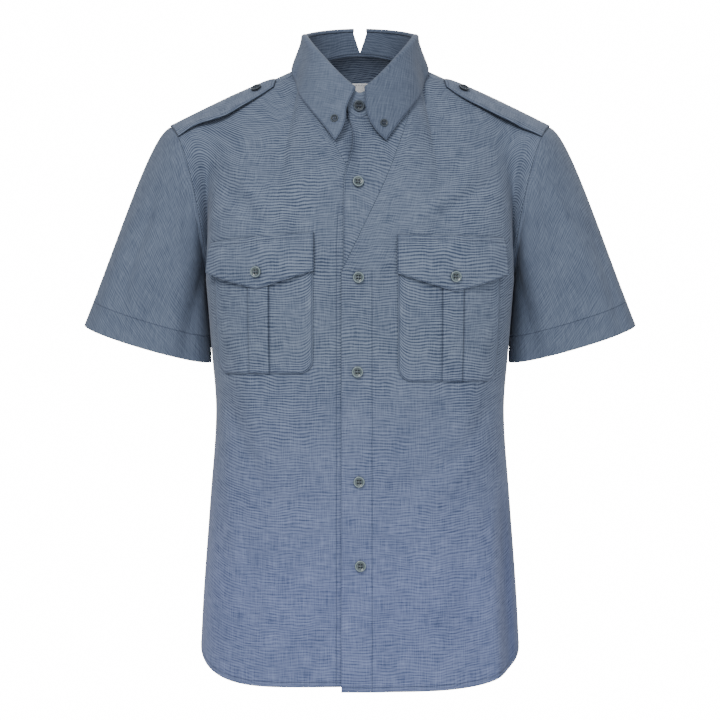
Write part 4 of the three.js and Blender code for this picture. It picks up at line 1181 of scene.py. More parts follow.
def make_stand():
    """The band round the neck, from the right front's edge round the back to the left front's, with a
    notch at the middle of the back."""
    right = across_at_edge(-1, np.array([2.0]), lambda z: np.full_like(z, -RIGHT_EDGE_X))[0]
    left = across_at_edge(1, np.array([2.0]), lambda z: edge_at(LEFT_INSET, z))[0]
    notch = math.asin(NOTCH["half"] / NECK["half"]) / (math.pi / 2) * NECK_ACROSS
    ahead_right = -stations([right, right + 0.003, NECK_ACROSS], 0.004)
    behind = stations([-NECK_ACROSS, -notch, -0.002, 0.0, 0.002, notch, NECK_ACROSS], 0.004)
    ahead_left = stations([left, left + 0.003, NECK_ACROSS], 0.004)[::-1]
    faces = [("front", ahead_right[:-1]), ("back", behind), ("front", ahead_left[1:])]
    bottom = np.concatenate([neck_point(f, a) for f, a in faces])
    top = np.concatenate([stand_top(f, a) for f, a in faces])
    cut = mix(NOTCH["foot"], 1, np.clip(np.abs(behind) / notch, 0, 1))
    tall = np.concatenate([np.ones(len(ahead_right) - 1), cut, np.ones(len(ahead_left) - 1)])
    lapped = overlap_lift(bottom[-(len(ahead_left) - 1) :, 0])
    lift = np.concatenate([np.zeros(len(ahead_right) - 1 + len(behind)), lapped])
    rows = stations([0.0, 0.02, 0.05, 0.95, 0.98, 1.0], 0.06)
    base = bottom[:, None] + (top - bottom)[:, None] * (rows[None, :] * tall[:, None])[..., None]
    normal = grid_normals(base, (base - base.mean(axis=(0, 1))) * np.array([1, 1, 0]))
    # painted shade on the stand's inner face
    outer, uv, up = cloth_panel(
        "collar_stand", base, normal, lift[:, None], row_a=edge_rows(EDGE_LINE, 2), plain=0.5, reverse=0.42
    )
    inner = outer - up * 2 * CLOTH
    return [line_at(uv[..., 1], EDGE_LINE, outer, up), line_at(uv[..., 1], STAND_LINE, inner, -up)]


def leaf_feet():
    """Points of the form under the leaf's lower edge, set off along the normals, by turn round the neck."""
    feet = []
    for _turn, face, x, value, key in LEAF_EDGE:
        a, h = find_place(face, np.array(float(x)), key, np.array(float(value)), 1.95 if key == 1 else 1.8)
        feet.append(form_point(face, a, h) + form_normal(face, a, h) * LEAF["lift"])
    return np.array([r[0] for r in LEAF_EDGE]), np.array(feet)


def leaf_grid(side, alongs, downs):
    """A leaf: rows roll over the stand's top edge, then fall to an edge that lies on the yoke and front."""
    degrees = mix(LEAF["back_turn"], LEAF["front_turn"], alongs)
    turn = np.radians(degrees)
    across = NECK_ACROSS * np.minimum(degrees, 180 - degrees) / 90
    is_back = degrees < 90
    top = np.where(is_back[:, None], stand_top("back", across), stand_top("front", across))
    out = stack(np.sin(turn), np.cos(turn), 0)
    lift = np.where(is_back, 0, overlap_lift(top[:, 0]))
    start = top + out * lift[:, None] + np.array([0, 0, LEAF["rise"]])
    shoulder = start + out * (CLOTH + 1.5 * LEAF["fold"]) + np.array([0, 0, 0.6 - LEAF["fold"]])
    keys, feet = leaf_feet()
    foot = curve_at(keys, feet, degrees)
    front = smooth((alongs - 0.6) / 0.4)
    # each row leaves the fold downwards and comes to the edge from above, further out in front
    leave = shoulder + stack(mix(0, 9, front), 0, -mix(10, 16, front)) + out * mix(0.5, 2, front)[:, None]
    arrive = foot + stack(-mix(0, 8, front), 0, mix(12, 22, front)) + out * mix(-2, 2, front)[:, None]
    rolls = np.linspace(0, 1, 9)[:-1]
    rise, crest = start + out * 0.4 + [0, 0, 1.4], shoulder + [0, 0, 2.2]
    roll = [bezier(start, rise, crest, shoulder, t) for t in rolls]
    fall = [bezier(shoulder, leave, arrive, foot, t) for t in downs]
    # the fold comes down to the stand's top edge on its inside
    inside = [start + out * 0.5 - np.array([0, 0, drop]) for drop in (2.4, 1.6, 0.8)]
    grid = np.stack(inside + roll + fall, 1)
    bow = curve_at(*np.array(LEAF_BOWS[side]).T, np.concatenate([np.zeros(ROLL_ROWS), downs]))
    grid[..., 0] -= bow[None, :] * smooth((alongs - 0.8) / 0.2)[:, None]
    return grid * np.array([side, 1, 1])


def make_leaf(side):
    """One leaf of the collar: its grid, with a wave that is a sine along its length times a sine down its
    fall, and its point lifted by the square of the fall."""
    alongs = stations([0.0, 0.001, 0.003, 0.008, 0.992, 0.997, 0.999, 1.0], 0.0085)
    downs = stations([0.0, 0.94, 0.975, 0.99, 1.0], 0.033)
    base = leaf_grid(side, alongs, downs)
    normal = grid_normals(base, base - np.array([0.0, 0, 10]))
    # the points lift a little off the fronts, and each leaf waves softly along its fall
    fall = np.concatenate([np.zeros(ROLL_ROWS), downs])[None, :]
    tip = smooth((alongs - 0.8) / 0.2)[:, None] * fall**2
    wave = 0.7 * np.sin(9 * alongs + side)[:, None] * np.where(fall > 0, np.sin(math.pi * fall), 0)
    # painted shade: the fallen part's rims and inner face are darkened, drawing dark lines along the leaf's
    # edges, and its outer face is darkened too, more on the left leaf, which faces away from the key lamp
    fallen = smooth((np.arange(base.shape[1]) - ROLL_ROWS + 4) / 8)[None, :]
    outer, uv, up = cloth_panel(
        f"collar_leaf_{name_of(side)}",
        base,
        normal,
        1.8 * tip + wave,
        rise=0.25,
        row_a=edge_rows(EDGE_LINE, 3),
        row_b=edge_rows(EDGE_LINE, 1),
        turn=0.6 * side,
        plain=0.7,
        reverse=0.9 * fallen,
        rim=0.95 * fallen,
        shade=0.32 if side > 0 else 0.14,
    )
    low = line_at(uv[..., 1] - uv[:, -1:, 1], -EDGE_LINE, outer, up)
    front = line_across(uv[..., 0] - uv[-1:, :, 0], -EDGE_LINE, outer, up)
    return [[g[2:-3] for g in low], [g[ROLL_ROWS + 1 : -3] for g in front]]


def front_run(side, inner, levels, span):
    """The across and height of a front's points at levels, at distances outwards from an inner edge."""
    start = np.abs(front_at(np.full(levels.shape, side * float(inner)), levels)[0])
    a = side * mix(start[None, :], 0.995, np.linspace(0, 1, 61)[:, None])
    low, high = np.zeros(a.shape), np.full(a.shape, 2.0)
    for _ in range(26):
        middle = (low + high) / 2
        below = form_point("front", a, middle)[..., 2] < levels[None, :]
        low, high = np.where(below, middle, low), np.where(below, high, middle)
    height = (low + high) / 2
    run = arc(form_point("front", a, height))
    columns = range(len(levels))
    across = np.stack([np.interp(span, run[:, k], a[:, k]) for k in columns], 1)
    return across, np.stack([np.interp(span, run[:, k], height[:, k]) for k in columns], 1)


def run_grid(side, inner, d, z):
    """Points at distances d outwards and heights z on a front, and the normals there."""
    count = 72
    levels = np.linspace(z.min() - 1, z.max() + 1, count)
    span = np.linspace(min(0.0, d.min()), d.max() + 1, count)
    a, h = front_run(side, inner, levels, span)
    fi = np.clip((d - span[0]) / (span[-1] - span[0]) * (count - 1), 0, count - 1.001)
    fj = np.clip((z - levels[0]) / (levels[-1] - levels[0]) * (count - 1), 0, count - 1.001)
    i, j = fi.astype(int), fj.astype(int)
    u, v = fi - i, fj - j
    across = mix(mix(a[i, j], a[i + 1, j], u), mix(a[i, j + 1], a[i + 1, j + 1], u), v)
    height = mix(mix(h[i, j], h[i + 1, j], u), mix(h[i, j + 1], h[i + 1, j + 1], u), v)
    return form_point("front", across, height), form_normal("front", across, height)


def pocket_layers(side, base):
    """The overlap's lift under the left pocket, and none under the right one."""
    return overlap_lift(base[..., 0]) if side > 0 else 0.0


def make_pocket(side, inner, bottom):
    """A patch pocket: straight lines down the front from its top to a foot with round corners, lifted by a
    box pleat's smooth step in the middle and by a soft swell of sines."""
    width, corner = POCKET["width"], POCKET["corner"]
    p0, p1 = (width - POCKET["pleat"]) / 2, (width + POCKET["pleat"]) / 2
    marks = [0, 0.3, 0.8, 1.6, corner, p0 - 0.9, p0 - 0.25, p0 + 0.25, p0 + 1.2]
    marks = marks + [width - m for m in marks[::-1]]
    s = stations(marks, 2.0)
    inward = corner - np.minimum(corner, np.minimum(s, width - s))
    foot = bottom + corner - np.sqrt(np.maximum(corner**2 - inward**2, 0))
    rows = stations([0, 0.002, 0.006, 0.014, 1.0], 0.017)
    z = foot[:, None] + (POCKET["top"] - foot)[:, None] * rows[None, :]
    d = np.broadcast_to(s[:, None], z.shape)
    base, normal = run_grid(side, inner, d, z)
    # the pleat opens a little below the flap and lies flat at the foot
    swell = 0.5 + 0.9 * np.sin(math.pi * np.clip(rows, 0, 1)) ** 0.8
    step = smooth((s - p0 + 0.5)) * smooth((p1 - s + 0.5))
    dip = bell(s - p0 + 1.6, 1.8) + bell(p1 + 1.6 - s, 1.8)
    bag = 1.6 * np.sin(math.pi * s / width)[:, None] ** 2 * np.sin(math.pi * rows)[None, :] ** 1.2
    lift = CLOTH + POCKET["clear"] + pocket_layers(side, base) + bag * 0.6
    rise = POCKET["rise"] * (step[:, None] * swell[None, :] - 0.55 * dip[:, None] * swell[None, :])
    edge = np.minimum(s, width - s)[:, None]
    round_edge = corner - np.hypot(np.maximum(corner - edge, 0), np.maximum(corner - (z - bottom), 0))
    inset = np.where((edge < corner) & (z - bottom < corner), round_edge, np.minimum(edge, z - bottom))
    # painted shade along the pressed folds of the pleat; the pocket's rims and inner face carry painted shade
    # too
    first, second = (0.95, 0.4) if side < 0 else (0.75, 0.75)
    crease = first * bell(s - p0 + 0.3, 0.8) + second * bell(p1 + 0.3 - s, 0.8)
    outer, _uv, up = cloth_panel(
        f"pocket_{name_of(side)}",
        base,
        normal,
        lift,
        rise,
        row_a=lambda m: inset - EDGE_LINE,
        reverse=1.0,
        rim=0.7,
        shade=crease[:, None],
    )
    # the sewn line: down one side, round both corners and up the other
    turn = np.linspace(0, math.pi / 2, 14)
    r = corner - EDGE_LINE
    side_z = np.linspace(POCKET["top"] - 4, bottom + corner, 40)[:-1]
    edge_s = np.concatenate([np.full(39, EDGE_LINE), corner - r * np.cos(turn)])
    edge_z = np.concatenate([side_z, bottom + corner - r * np.sin(turn)])
    middle = np.linspace(corner, width - corner, 60)[1:-1]
    line_s = np.concatenate([edge_s, middle, width - edge_s[::-1]])
    line_z = np.concatenate([edge_z, np.full(58, bottom + EDGE_LINE), edge_z[::-1]])
    foot_at = np.interp(line_s, s, foot)
    share = (line_z - foot_at) / (POCKET["top"] - foot_at)
    i, j = np.interp(line_s, s, np.arange(len(s))), np.interp(share, rows, np.arange(len(rows)))
    return [sampled(outer, up, i, j)]


def sampled(outer, up, i, j):
    """Points and normals of a grid at fractional places."""
    i0 = np.clip(i.astype(int), 0, outer.shape[0] - 2)
    j0 = np.clip(j.astype(int), 0, outer.shape[1] - 2)
    u, v = (i - i0)[:, None], (j - j0)[:, None]
    out = []
    for g in (outer, up):
        near, far = mix(g[i0, j0], g[i0 + 1, j0], u), mix(g[i0, j0 + 1], g[i0 + 1, j0 + 1], u)
        out.append(mix(near, far, v))
    return out


def make_flap(side, inner, top, slope):
    """A pocket flap: lines down the front from its sewn top to a blunt point, a hyperbola, lifted smoothly
    off the pocket and curled by a squared sine in each half."""
    share = stations([0, 0.002, 0.006, 0.014, 0.48, 0.52, 0.986, 0.994, 0.998, 1.0], 0.016)
    down = stations([0, 0.006, 0.02, 0.97, 0.985, 0.995, 1.0], 0.035)
    blunt = np.sqrt((2 * share - 1) ** 2 + 0.0016)
    length = mix(FLAP["corner"], FLAP["point"], 1 - blunt)
    z = mix((top - slope * share)[:, None], (top - length)[:, None], down[None, :])
    d = np.broadcast_to((share * FLAP["width"])[:, None], z.shape)
    base, normal = run_grid(side, inner - FLAP["inset"], d, z)
    clear = 2 * CLOTH + POCKET["clear"] + POCKET["rise"] + LAYER_GAP
    fall = smooth(down / 0.3)[None, :]
    lift = mix(CLOTH + 2 * POCKET["clear"], clear, fall)
    lift = lift + 5 * down[None, :] * smooth((share - 0.6) / 0.4)[:, None]
    # the free edge stands off in the middle of each half and is drawn in at the button
    curl = 1.8 * np.sin(2 * math.pi * share) ** 2
    lift = lift + curl[:, None] * (down**2)[None, :] + pocket_layers(side, base)
    # painted shade round the flap's rims and on its inner face darkens the line under its edge
    outer, uv, up = cloth_panel(
        f"pocket_flap_{name_of(side)}",
        base,
        normal,
        lift,
        rise=0.2,
        row_a=edge_rows(EDGE_LINE, 0, 1, 3),
        row_b=edge_rows(SEAM_LINE, 2),
        reverse=1.0,
        rim=0.95,
    )
    ends = uv[..., 1] - uv[:, -1:, 1]
    lines = [line_at(uv[..., 1], SEAM_LINE, outer, up), line_at(ends, -EDGE_LINE, outer, up)]
    lines.append(line_across(uv[..., 0], EDGE_LINE, outer, up))
    lines.append(line_across(uv[..., 0] - uv[-1:, :, 0], -EDGE_LINE, outer, up))
    return [[g[4:-4] for g in line] for line in lines]


def over_shoulder(side, x, distance):
    """Points over the shoulder, on the lines at ridge places x, at distances to the front or back."""
    across = side * mix(NECK_ACROSS, 1, (x - NECK["half"]) / (SHOULDER_TIP[0] - NECK["half"]))
    out = np.zeros(x.shape + (3,))
    steps = np.linspace(2, 1.3, 60)
    for face, mask in (("front", distance < 0), ("back", distance >= 0)):
        line = form_point(face, across[:, :1], steps[None, :])
        paces = np.linalg.norm(np.diff(line, axis=1), axis=-1)
        run = np.concatenate([np.zeros((len(line), 1)), np.cumsum(paces, 1)], 1)
        drop = np.stack([np.interp(np.abs(distance[k]), run[k], steps) for k in range(len(line))])
        out = np.where(mask[..., None], form_point(face, across, drop), out)
    return out


def make_epaulette(side):
    """A shoulder strap: a strip over the shoulder's lines whose half width, seat and front edge's bow and
    lift are each a curve along it."""
    along = stations([0, 0.002, 0.006, 0.014, 0.03, 0.06, 0.985, 0.995, 1.0], 0.012)
    over = stations([-1.0, -0.99, -0.97, -0.9, 0.9, 0.97, 0.99, 1.0], 0.06)
    length = SHOULDER_TIP[0] - EPAULETTE["inner"]
    nose = 0.35 + 0.65 * np.sqrt(np.minimum(1, along * length / EPAULETTE["tip"]))
    half = (mix(EPAULETTE["end"], EPAULETTE["seam"], along) * nose)[:, None]
    forward = mix(EPAULETTE["forward"], EPAULETTE["forward"] - EPAULETTE["seam_back"], along)[:, None]
    a, o = np.broadcast_arrays(along[:, None], over[None, :])
    front_edge = curve_at(*np.array(STRAP_FRONT[side]).T, along)[:, None]
    reach = np.where(o < 0, mix(forward, front_edge, -o), forward - o * half)
    x = mix(EPAULETTE["inner"], SHOULDER_TIP[0] - 0.4, a)
    base = over_shoulder(side, x, -reach)
    normal = grid_normals(base, np.array([0, -0.3, 1.0]))
    stand_off = curve_at(*np.array(STRAP_STANDOFF).T, along)[:, None] * smooth((-o - 0.1) / 0.9)
    lift = CLOTH + 0.8 - 0.7 * a + 1.8 * np.sin(math.pi * a) * (0.4 + 0.6 * o**2) + stand_off
    # painted shade round the strap's rims and on its inner face darkens the line under its edge
    outer, uv, up = cloth_panel(
        f"epaulette_{name_of(side)}",
        base,
        normal,
        lift,
        rise=0.4,
        row_a=edge_rows(STRAP_LINE, 0, 2, 3),
        reverse=1.0,
        rim=0.95,
    )
    ends = uv[..., 1] - uv[:, -1:, 1]
    lines = [line_at(uv[..., 1], STRAP_LINE, outer, up), line_at(ends, -STRAP_LINE, outer, up)]
    lines = [[g[8:-1] for g in line] for line in lines]
    nose_line = line_across(uv[..., 0], STRAP_LINE, outer, up)
    return lines + [[g[4:-4] for g in nose_line]]


def make_label():
    """A bare white label inside the back of the neck, its edge sewn all round."""
    across = stations([-0.5, -0.49, 0.49, 0.5], 0.03)
    rows = stations([0.0, 0.02, 0.98, 1.0], 0.05)
    x, share = np.meshgrid(across * LABEL["width"], rows, indexing="ij")
    z = mix(LABEL["bottom"], LABEL["top"], share)
    a, h = find_place("back", x, 2, z, 1.8)
    base, normal = form_point("back", a, h), form_normal("back", a, h)
    uv = panel_map(base)
    far = np.full(base.shape[:2], FAR)
    lift = -LABEL["clear"] - LABEL["thick"]
    obj, outer = shell("label_tape", base, normal, lift, LABEL["thick"], label_material(), uv, {"row_a": far})
    declare(base)
    seat(obj, "neck_label", slot="label")
    inner = outer - normal * (LABEL["thick"] + 0.1)
    left, right, low, high = border_distances(uv)
    return [
        line_at(low, EDGE_LINE, inner, -normal),
        line_at(-high, -EDGE_LINE, inner, -normal),
        line_across(left, EDGE_LINE, inner, -normal),
        line_across(-right, -EDGE_LINE, inner, -normal),
    ]


def node_frame(node):
    """A button node's middle, its axis and its size, from its own points: the axis is its thin direction,
    turned away from the middle of the shirt."""
    mesh = bpy.data.objects[node].data
    points = np.empty(len(mesh.vertices) * 3, np.float32)
    mesh.vertices.foreach_get("co", points)
    points = points.reshape(-1, 3).astype(float) / MM
    middle = (points.max(axis=0) + points.min(axis=0)) / 2
    axis = np.linalg.svd(points - points.mean(axis=0), full_matrices=False)[2][2]
    outward = np.array([0, -1.0, 0.35])
    if axis @ outward < 0:
        axis = -axis
    reach = (points - middle) @ axis
    across = np.linalg.norm((points - middle) - np.outer(reach, axis), axis=1).max()
    return middle, axis, float(across), float(np.ptp(reach))


def make_button(node, material):
    """A four-hole button: a profile of rim and dish carried round its axis, with four bell-shaped pits
    pressed into it, and the lines of two threads."""
    middle, axis, radius, thick = node_frame(node)
    side = unit(np.cross(axis, np.array([0.0, 0.0, 1.0])))
    up = np.cross(side, axis)
    profile = np.array(
        [
            # share of the radius, share of the thickness
            (0.0, 0.62), (0.12, 0.62), (0.2, 0.62), (0.27, 0.62), (0.33, 0.62), (0.4, 0.62),
            (0.48, 0.62), (0.56, 0.63), (0.63, 0.66), (0.69, 0.74), (0.75, 0.88), (0.81, 0.97),
            (0.87, 1.0), (0.93, 0.97), (0.975, 0.88), (1.0, 0.72), (1.0, 0.55), (0.97, 0.38),
            (0.9, 0.2), (0.8, 0.06), (0.7, 0.0), (0.0, 0.0),
        ]
    )
    sides = 48
    turn = np.arange(sides) * 2 * math.pi / sides
    r = profile[:, 0] * radius
    h = (profile[:, 1] - 0.5) * thick
    x, y = np.outer(r, np.cos(turn)), np.outer(r, np.sin(turn))
    z = np.repeat(h[:, None], sides, 1)
    hole = 0.23 * radius
    pit = np.zeros(z.shape)
    for sx in (-1, 1):
        for sy in (-1, 1):
            pit = np.maximum(pit, bell(np.hypot(x - sx * hole, y - sy * hole), 0.2 * radius) ** 2)
    front = (np.arange(len(profile)) < 9)[:, None]
    pit = np.where(front, pit, 0.0)
    z = z - pit * thick * 0.55
    rows = len(profile)
    points = middle + x[..., None] * side + y[..., None] * up + z[..., None] * axis
    ids = np.arange(rows * sides).reshape(rows, sides)
    a, b = ids[:-1], ids[1:]
    quads = np.stack([a, b, np.roll(b, -1, 1), np.roll(a, -1, 1)], -1).reshape(-1, 4)
    # painted shade: the holes, a dark ring round the button's edge as its shadow, and its underside
    under = np.where((profile[:, 1] < 0.5) | (profile[:, 0] > 0.97), 0.9, 0.0)[:, None]
    marks = {
        "depth": np.maximum(smooth(pit * 2), under),
        "rim": np.broadcast_to(bell(profile[:, 0] - 0.88, 0.11)[:, None], z.shape),
    }
    obj = mesh_object(node + "_dish", points.reshape(-1, 3), quads, material, attributes=marks)
    close_up(obj)
    seat(obj, node, slot="button")
    threads = []
    for sx in (-1, 1):
        ends = np.array([[hole * sx, -hole], [hole * sx, 0], [hole * sx, hole]])
        tall = thick * 0.12 + np.array([[-0.4], [0.1], [-0.4]])
        line = middle + ends[:, :1] * side + ends[:, 1:] * up + axis * tall
        threads.append((line, np.repeat(axis[None], 3, 0)))
    return threads


def sew_bars(name, lines, radius):
    """Thick short threads, one for each line of three points."""
    sides = 8
    turn = np.arange(sides) * 2 * math.pi / sides
    points, faces, count = [], [], 0
    for line, up in lines:
        t = unit(line[2] - line[0])
        b = np.cross(t, up[0])
        keys = np.linspace(0, 2, 9)
        path = np.stack([np.interp(keys, [0, 1, 2], line[:, k]) for k in range(3)], -1)
        fat = np.sqrt(np.maximum(1 - (keys - 1) ** 8, 0.05)) * radius
        ring = up[0][None] * np.cos(turn)[:, None] + b[None] * np.sin(turn)[:, None]
        points.append((path[:, None] + ring[None] * fat[:, None, None]).reshape(-1, 3))
        ids = np.arange(9 * sides).reshape(9, sides) + count
        c, d = ids[:-1], ids[1:]
        faces.append(np.stack([c, np.roll(c, -1, 1), np.roll(d, -1, 1), d], -1).reshape(-1, 4))
        for end in (ids[0], ids[-1]):
            faces.append(end[np.array([[0, 1, 2, 3], [0, 3, 4, 7], [4, 5, 6, 7]])])
        count += 9 * sides
    obj = mesh_object(name, np.concatenate(points), np.concatenate(faces), thread_material())
    close_up(obj)
    return seat(obj)


def buttonhole(node, length, tall, shift):
    """The sewn edge of a buttonhole beside a button: two rows of thread along a slit."""
    middle, axis, _radius, thick = node_frame(node)
    along = unit(np.array(tall, float) - axis * (axis @ np.array(tall, float)))
    beside = np.cross(axis, along)
    centre = middle - axis * (thick / 2 + 0.55) + along * shift
    lines = []
    for sign in (-1, 1):
        run = centre + np.linspace(-0.5, 0.5, 7)[:, None] * length * along + beside * 0.55 * sign
        lines.append((run, np.repeat(axis[None], 7, 0)))
    for end in (-0.5, 0.5):
        run = centre + along * length * end + np.linspace(-1.1, 1.1, 5)[:, None] * beside
        lines.append((run, np.repeat(axis[None], 5, 0)))
    return lines


def area_light(name, place, energy, size):
    """A square lamp turned to LAMP_AIM."""
    light = bpy.data.lights.new(name, "AREA")
    light.energy, light.size = energy, size
    lamp = bpy.data.objects.new(name, light)
    bpy.context.scene.collection.objects.link(lamp)
    lamp.location = place
    lamp.rotation_euler = (Vector(LAMP_AIM) - Vector(place)).to_track_quat("-Z", "Y").to_euler()


def make_camera():
    """The photograph's camera, level and straight ahead: its focal length is the sensor's width times the
    distance, over the picture's width at the shirt."""
    camera = bpy.data.cameras.new("photo_view")
    camera.lens = camera.sensor_width * CAMERA_DISTANCE / (PHOTO_WIDTH * PIXEL * MM)
    holder = bpy.data.objects.new("photo_view", camera)
    bpy.context.scene.collection.objects.link(holder)
    holder.location = (0, -CAMERA_DISTANCE, CAMERA_HEIGHT)
    holder.rotation_euler = (math.pi / 2, 0, 0)
    bpy.context.scene.camera = holder


def make_floor():
    """A square floor below the shirt."""
    half, level = FLOOR["half"], FLOOR["level"]
    turns = np.array([(-1, -1), (1, -1), (1, 1), (-1, 1)]) * half
    corners = np.column_stack([turns, np.full(4, level)])
    floor = mesh_object("studio_floor", corners / MM, np.array([[0, 1, 2, 3]]), floor_material())
    floor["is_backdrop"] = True


def make_world():
    """A pale studio all round: dim as a light, white where it is seen as the background."""
    world = bpy.data.worlds.new("studio")
    world.use_nodes = True
    tree = world.node_tree
    light = tree.nodes["Background"]
    light.inputs[0].default_value = (0.93, 0.96, 1.0, 1)
    light.inputs[1].default_value = finish().fill
    seen = tree.nodes.new("ShaderNodeBackground")
    seen.inputs[0].default_value = (1, 1, 1, 1)
    seen.inputs[1].default_value = finish().backdrop
    pick = tree.nodes.new("ShaderNodeMixShader")
    ray = tree.nodes.new("ShaderNodeLightPath")
    tree.links.new(ray.outputs["Is Camera Ray"], pick.inputs[0])
    tree.links.new(light.outputs[0], pick.inputs[1])
    tree.links.new(seen.outputs[0], pick.inputs[2])
    tree.links.new(pick.outputs[0], tree.nodes["World Output"].inputs[0])
    bpy.context.scene.world = world


def length_property(name, description, default):
    """A property that holds a length in metres."""
    return bpy.props.FloatProperty(name=name, description=description, default=default, unit="LENGTH")


def share_property(name, description, default):
    """A property that holds a strength or share."""
    return bpy.props.FloatProperty(name=name, description=description, default=default, subtype="FACTOR")


class ShirtSizes(bpy.types.PropertyGroup):
    crease: share_property("Crease depth", "How deep the creases are, 1 as in the photograph", 1.0)
    roll: length_property("Edge roll", "Over what distance a sewn or folded edge rounds off", 0.0011)
    stitch_pitch: length_property("Stitch pitch", "Distance from stitch to stitch", 0.0029)
    stitch_length: length_property("Stitch length", "Length of thread that shows", 0.0023)
    thread: length_property("Thread radius", "Half the thickness of the sewing thread", 0.00026)
    placket: length_property("Placket width", "From the front edge to its sewn line", 0.0345)
    sleeve_hem: length_property("Sleeve hem", "Depth of the sleeve's turned hem", 0.031)


def colour_property(name, description, default):
    """A property that holds a colour."""
    return bpy.props.FloatVectorProperty(name=name, description=description, default=default, subtype="COLOR")


class ShirtFinish(bpy.types.PropertyGroup):
    yarn_dark: colour_property("Dark yarn", "Dark blue-grey yarn of the upper shirt", (0.023, 0.037, 0.072))
    yarn_light: colour_property("Pale yarn", "Pale grey yarn of the upper shirt", (0.165, 0.2, 0.268))
    yarn_dark_low: colour_property("Dark yarn, low", "Dark yarn towards the hem", (0.03, 0.047, 0.115))
    yarn_light_low: colour_property("Pale yarn, low", "Pale yarn towards the hem", (0.188, 0.226, 0.383))
    thread: colour_property("Thread", "Sewing thread", (0.05, 0.07, 0.12))
    button: colour_property("Button", "Pearly buttons of the front and pockets", (0.05, 0.07, 0.076))
    button_dark: colour_property("Dark button", "Small dark buttons", (0.018, 0.024, 0.032))
    label: colour_property("Label", "Neck label", (0.97, 0.97, 0.97))
    floor: colour_property("Floor", "Studio floor", (0.92, 0.92, 0.92))
    fill: share_property("Fill light", "Strength of the light all round", 0.66)
    backdrop: share_property("Backdrop", "Brightness of the background", 16.0)


class SHIRT_OT_stage(bpy.types.Operator):
    """Sets up the camera, the floor and the soft studio light"""

    bl_idname = "shirt.stage"
    bl_label = "Stage"

    def execute(self, context):
        make_camera()
        make_floor()
        make_world()
        for name, (place, energy, size) in LAMPS.items():
            area_light(name, place, energy, size)
        return {"FINISHED"}


class SHIRT_OT_fronts(bpy.types.Operator):
    """Makes both fronts with their plackets, the neck insets and their stitching"""

    bl_idname = "shirt.fronts"
    bl_label = "Fronts"

    def execute(self, context):
        lines = []
        for side in (-1, 1):
            lines += make_front(side) + make_inset(side)
        sew("stitching_fronts", lines)
        return {"FINISHED"}


class SHIRT_OT_back(bpy.types.Operator):
    """Makes the back and the yoke, with their stitching"""

    bl_idname = "shirt.back"
    bl_label = "Back and yoke"

    def execute(self, context):
        sew("stitching_back", make_back() + make_yoke())
        return {"FINISHED"}


class SHIRT_OT_sleeves(bpy.types.Operator):
    """Makes both sleeves and the stitching of their hems"""

    bl_idname = "shirt.sleeves"
    bl_label = "Sleeves"

    def execute(self, context):
        sew("stitching_sleeves", make_sleeve(-1) + make_sleeve(1))
        return {"FINISHED"}


class SHIRT_OT_collar(bpy.types.Operator):
    """Makes the collar stand, both leaves and the neck label, with their stitching"""

    bl_idname = "shirt.collar"
    bl_label = "Collar"

    def execute(self, context):
        sew("stitching_collar", make_stand() + make_leaf(-1) + make_leaf(1))
        sew("stitching_label", make_label())
        return {"FINISHED"}


class SHIRT_OT_pockets(bpy.types.Operator):
    """Makes both chest pockets and their flaps, with their stitching"""

    bl_idname = "shirt.pockets"
    bl_label = "Pockets"

    def execute(self, context):
        lines = []
        for side, inner, bottom, top, slope in POCKETS:
            lines += make_pocket(side, inner, bottom) + make_flap(side, inner, top, slope)
        sew("stitching_pockets", lines)
        return {"FINISHED"}


class SHIRT_OT_epaulettes(bpy.types.Operator):
    """Makes both shoulder straps with their stitching"""

    bl_idname = "shirt.epaulettes"
    bl_label = "Epaulettes"

    def execute(self, context):
        sew("stitching_epaulettes", make_epaulette(-1) + make_epaulette(1))
        return {"FINISHED"}


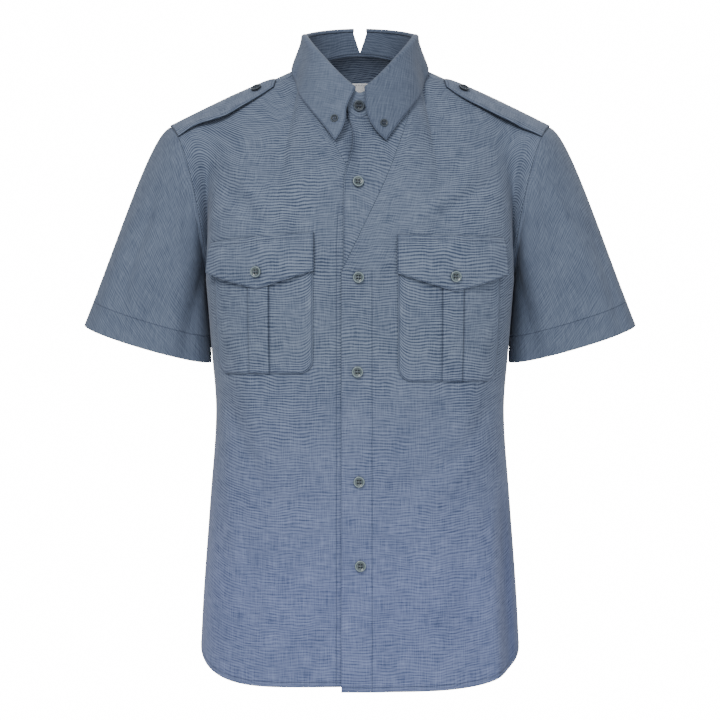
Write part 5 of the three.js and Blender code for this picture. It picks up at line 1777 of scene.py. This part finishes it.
class SHIRT_OT_buttons(bpy.types.Operator):
    """Makes the buttons, the threads that hold them and their buttonholes"""

    bl_idname = "shirt.buttons"
    bl_label = "Buttons"

    def execute(self, context):
        pearl = button_material("pearl_button", finish().button)
        dark = button_material("dark_button", finish().button_dark, 0.3)
        threads, holes = [], []
        for node in sorted(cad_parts):
            if not node.startswith("button_"):
                continue
            large = node.startswith(("button_front", "button_pocket"))
            threads += make_button(node, pearl if large else dark)
            if large:
                holes += buttonhole(node, 15.0, (0, 0, 1), 1.5)
            elif "collar" in node:
                holes += buttonhole(node, 11.0, (0.45 * (1 if "left" in node else -1), 0, -1), 0.0)
        sew_bars("button_threads", threads, 0.26)
        sew("stitching_buttonholes", holes)
        return {"FINISHED"}


class SHIRT_PT_panel(bpy.types.Panel):
    bl_label = "Military Shirt"
    bl_idname = "SHIRT_PT_panel"
    bl_space_type = "VIEW_3D"
    bl_region_type = "UI"
    bl_category = "Shirt"

    def draw(self, context):
        layout = self.layout
        for group in (context.scene.shirt_sizes, context.scene.shirt_finish):
            box = layout.box()
            for key in group.__annotations__:
                box.prop(group, key)
        for operator in OPERATORS:
            layout.operator(operator.bl_idname)


OPERATORS = (
    SHIRT_OT_stage,
    SHIRT_OT_fronts,
    SHIRT_OT_back,
    SHIRT_OT_sleeves,
    SHIRT_OT_collar,
    SHIRT_OT_pockets,
    SHIRT_OT_epaulettes,
    SHIRT_OT_buttons,
)
CLASSES = (ShirtSizes, ShirtFinish, *OPERATORS, SHIRT_PT_panel)


def register():
    for each in CLASSES:
        bpy.utils.register_class(each)
    bpy.types.Scene.shirt_sizes = bpy.props.PointerProperty(type=ShirtSizes)
    bpy.types.Scene.shirt_finish = bpy.props.PointerProperty(type=ShirtFinish)


def unregister():
    del bpy.types.Scene.shirt_finish
    del bpy.types.Scene.shirt_sizes
    for each in reversed(CLASSES):
        bpy.utils.unregister_class(each)


def main():
    """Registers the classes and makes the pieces."""
    cad_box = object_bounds()
    register()
    bpy.ops.shirt.stage()
    bpy.ops.shirt.fronts()
    bpy.ops.shirt.back()
    bpy.ops.shirt.sleeves()
    bpy.ops.shirt.collar()
    bpy.ops.shirt.pockets()
    bpy.ops.shirt.epaulettes()
    bpy.ops.shirt.buttons()
    boxes = {"cad": cad_box, "visual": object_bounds()}
    boxes = {name: [list(map(float, p)) for p in box] for name, box in boxes.items()}


if __name__ == "__main__":
    main()
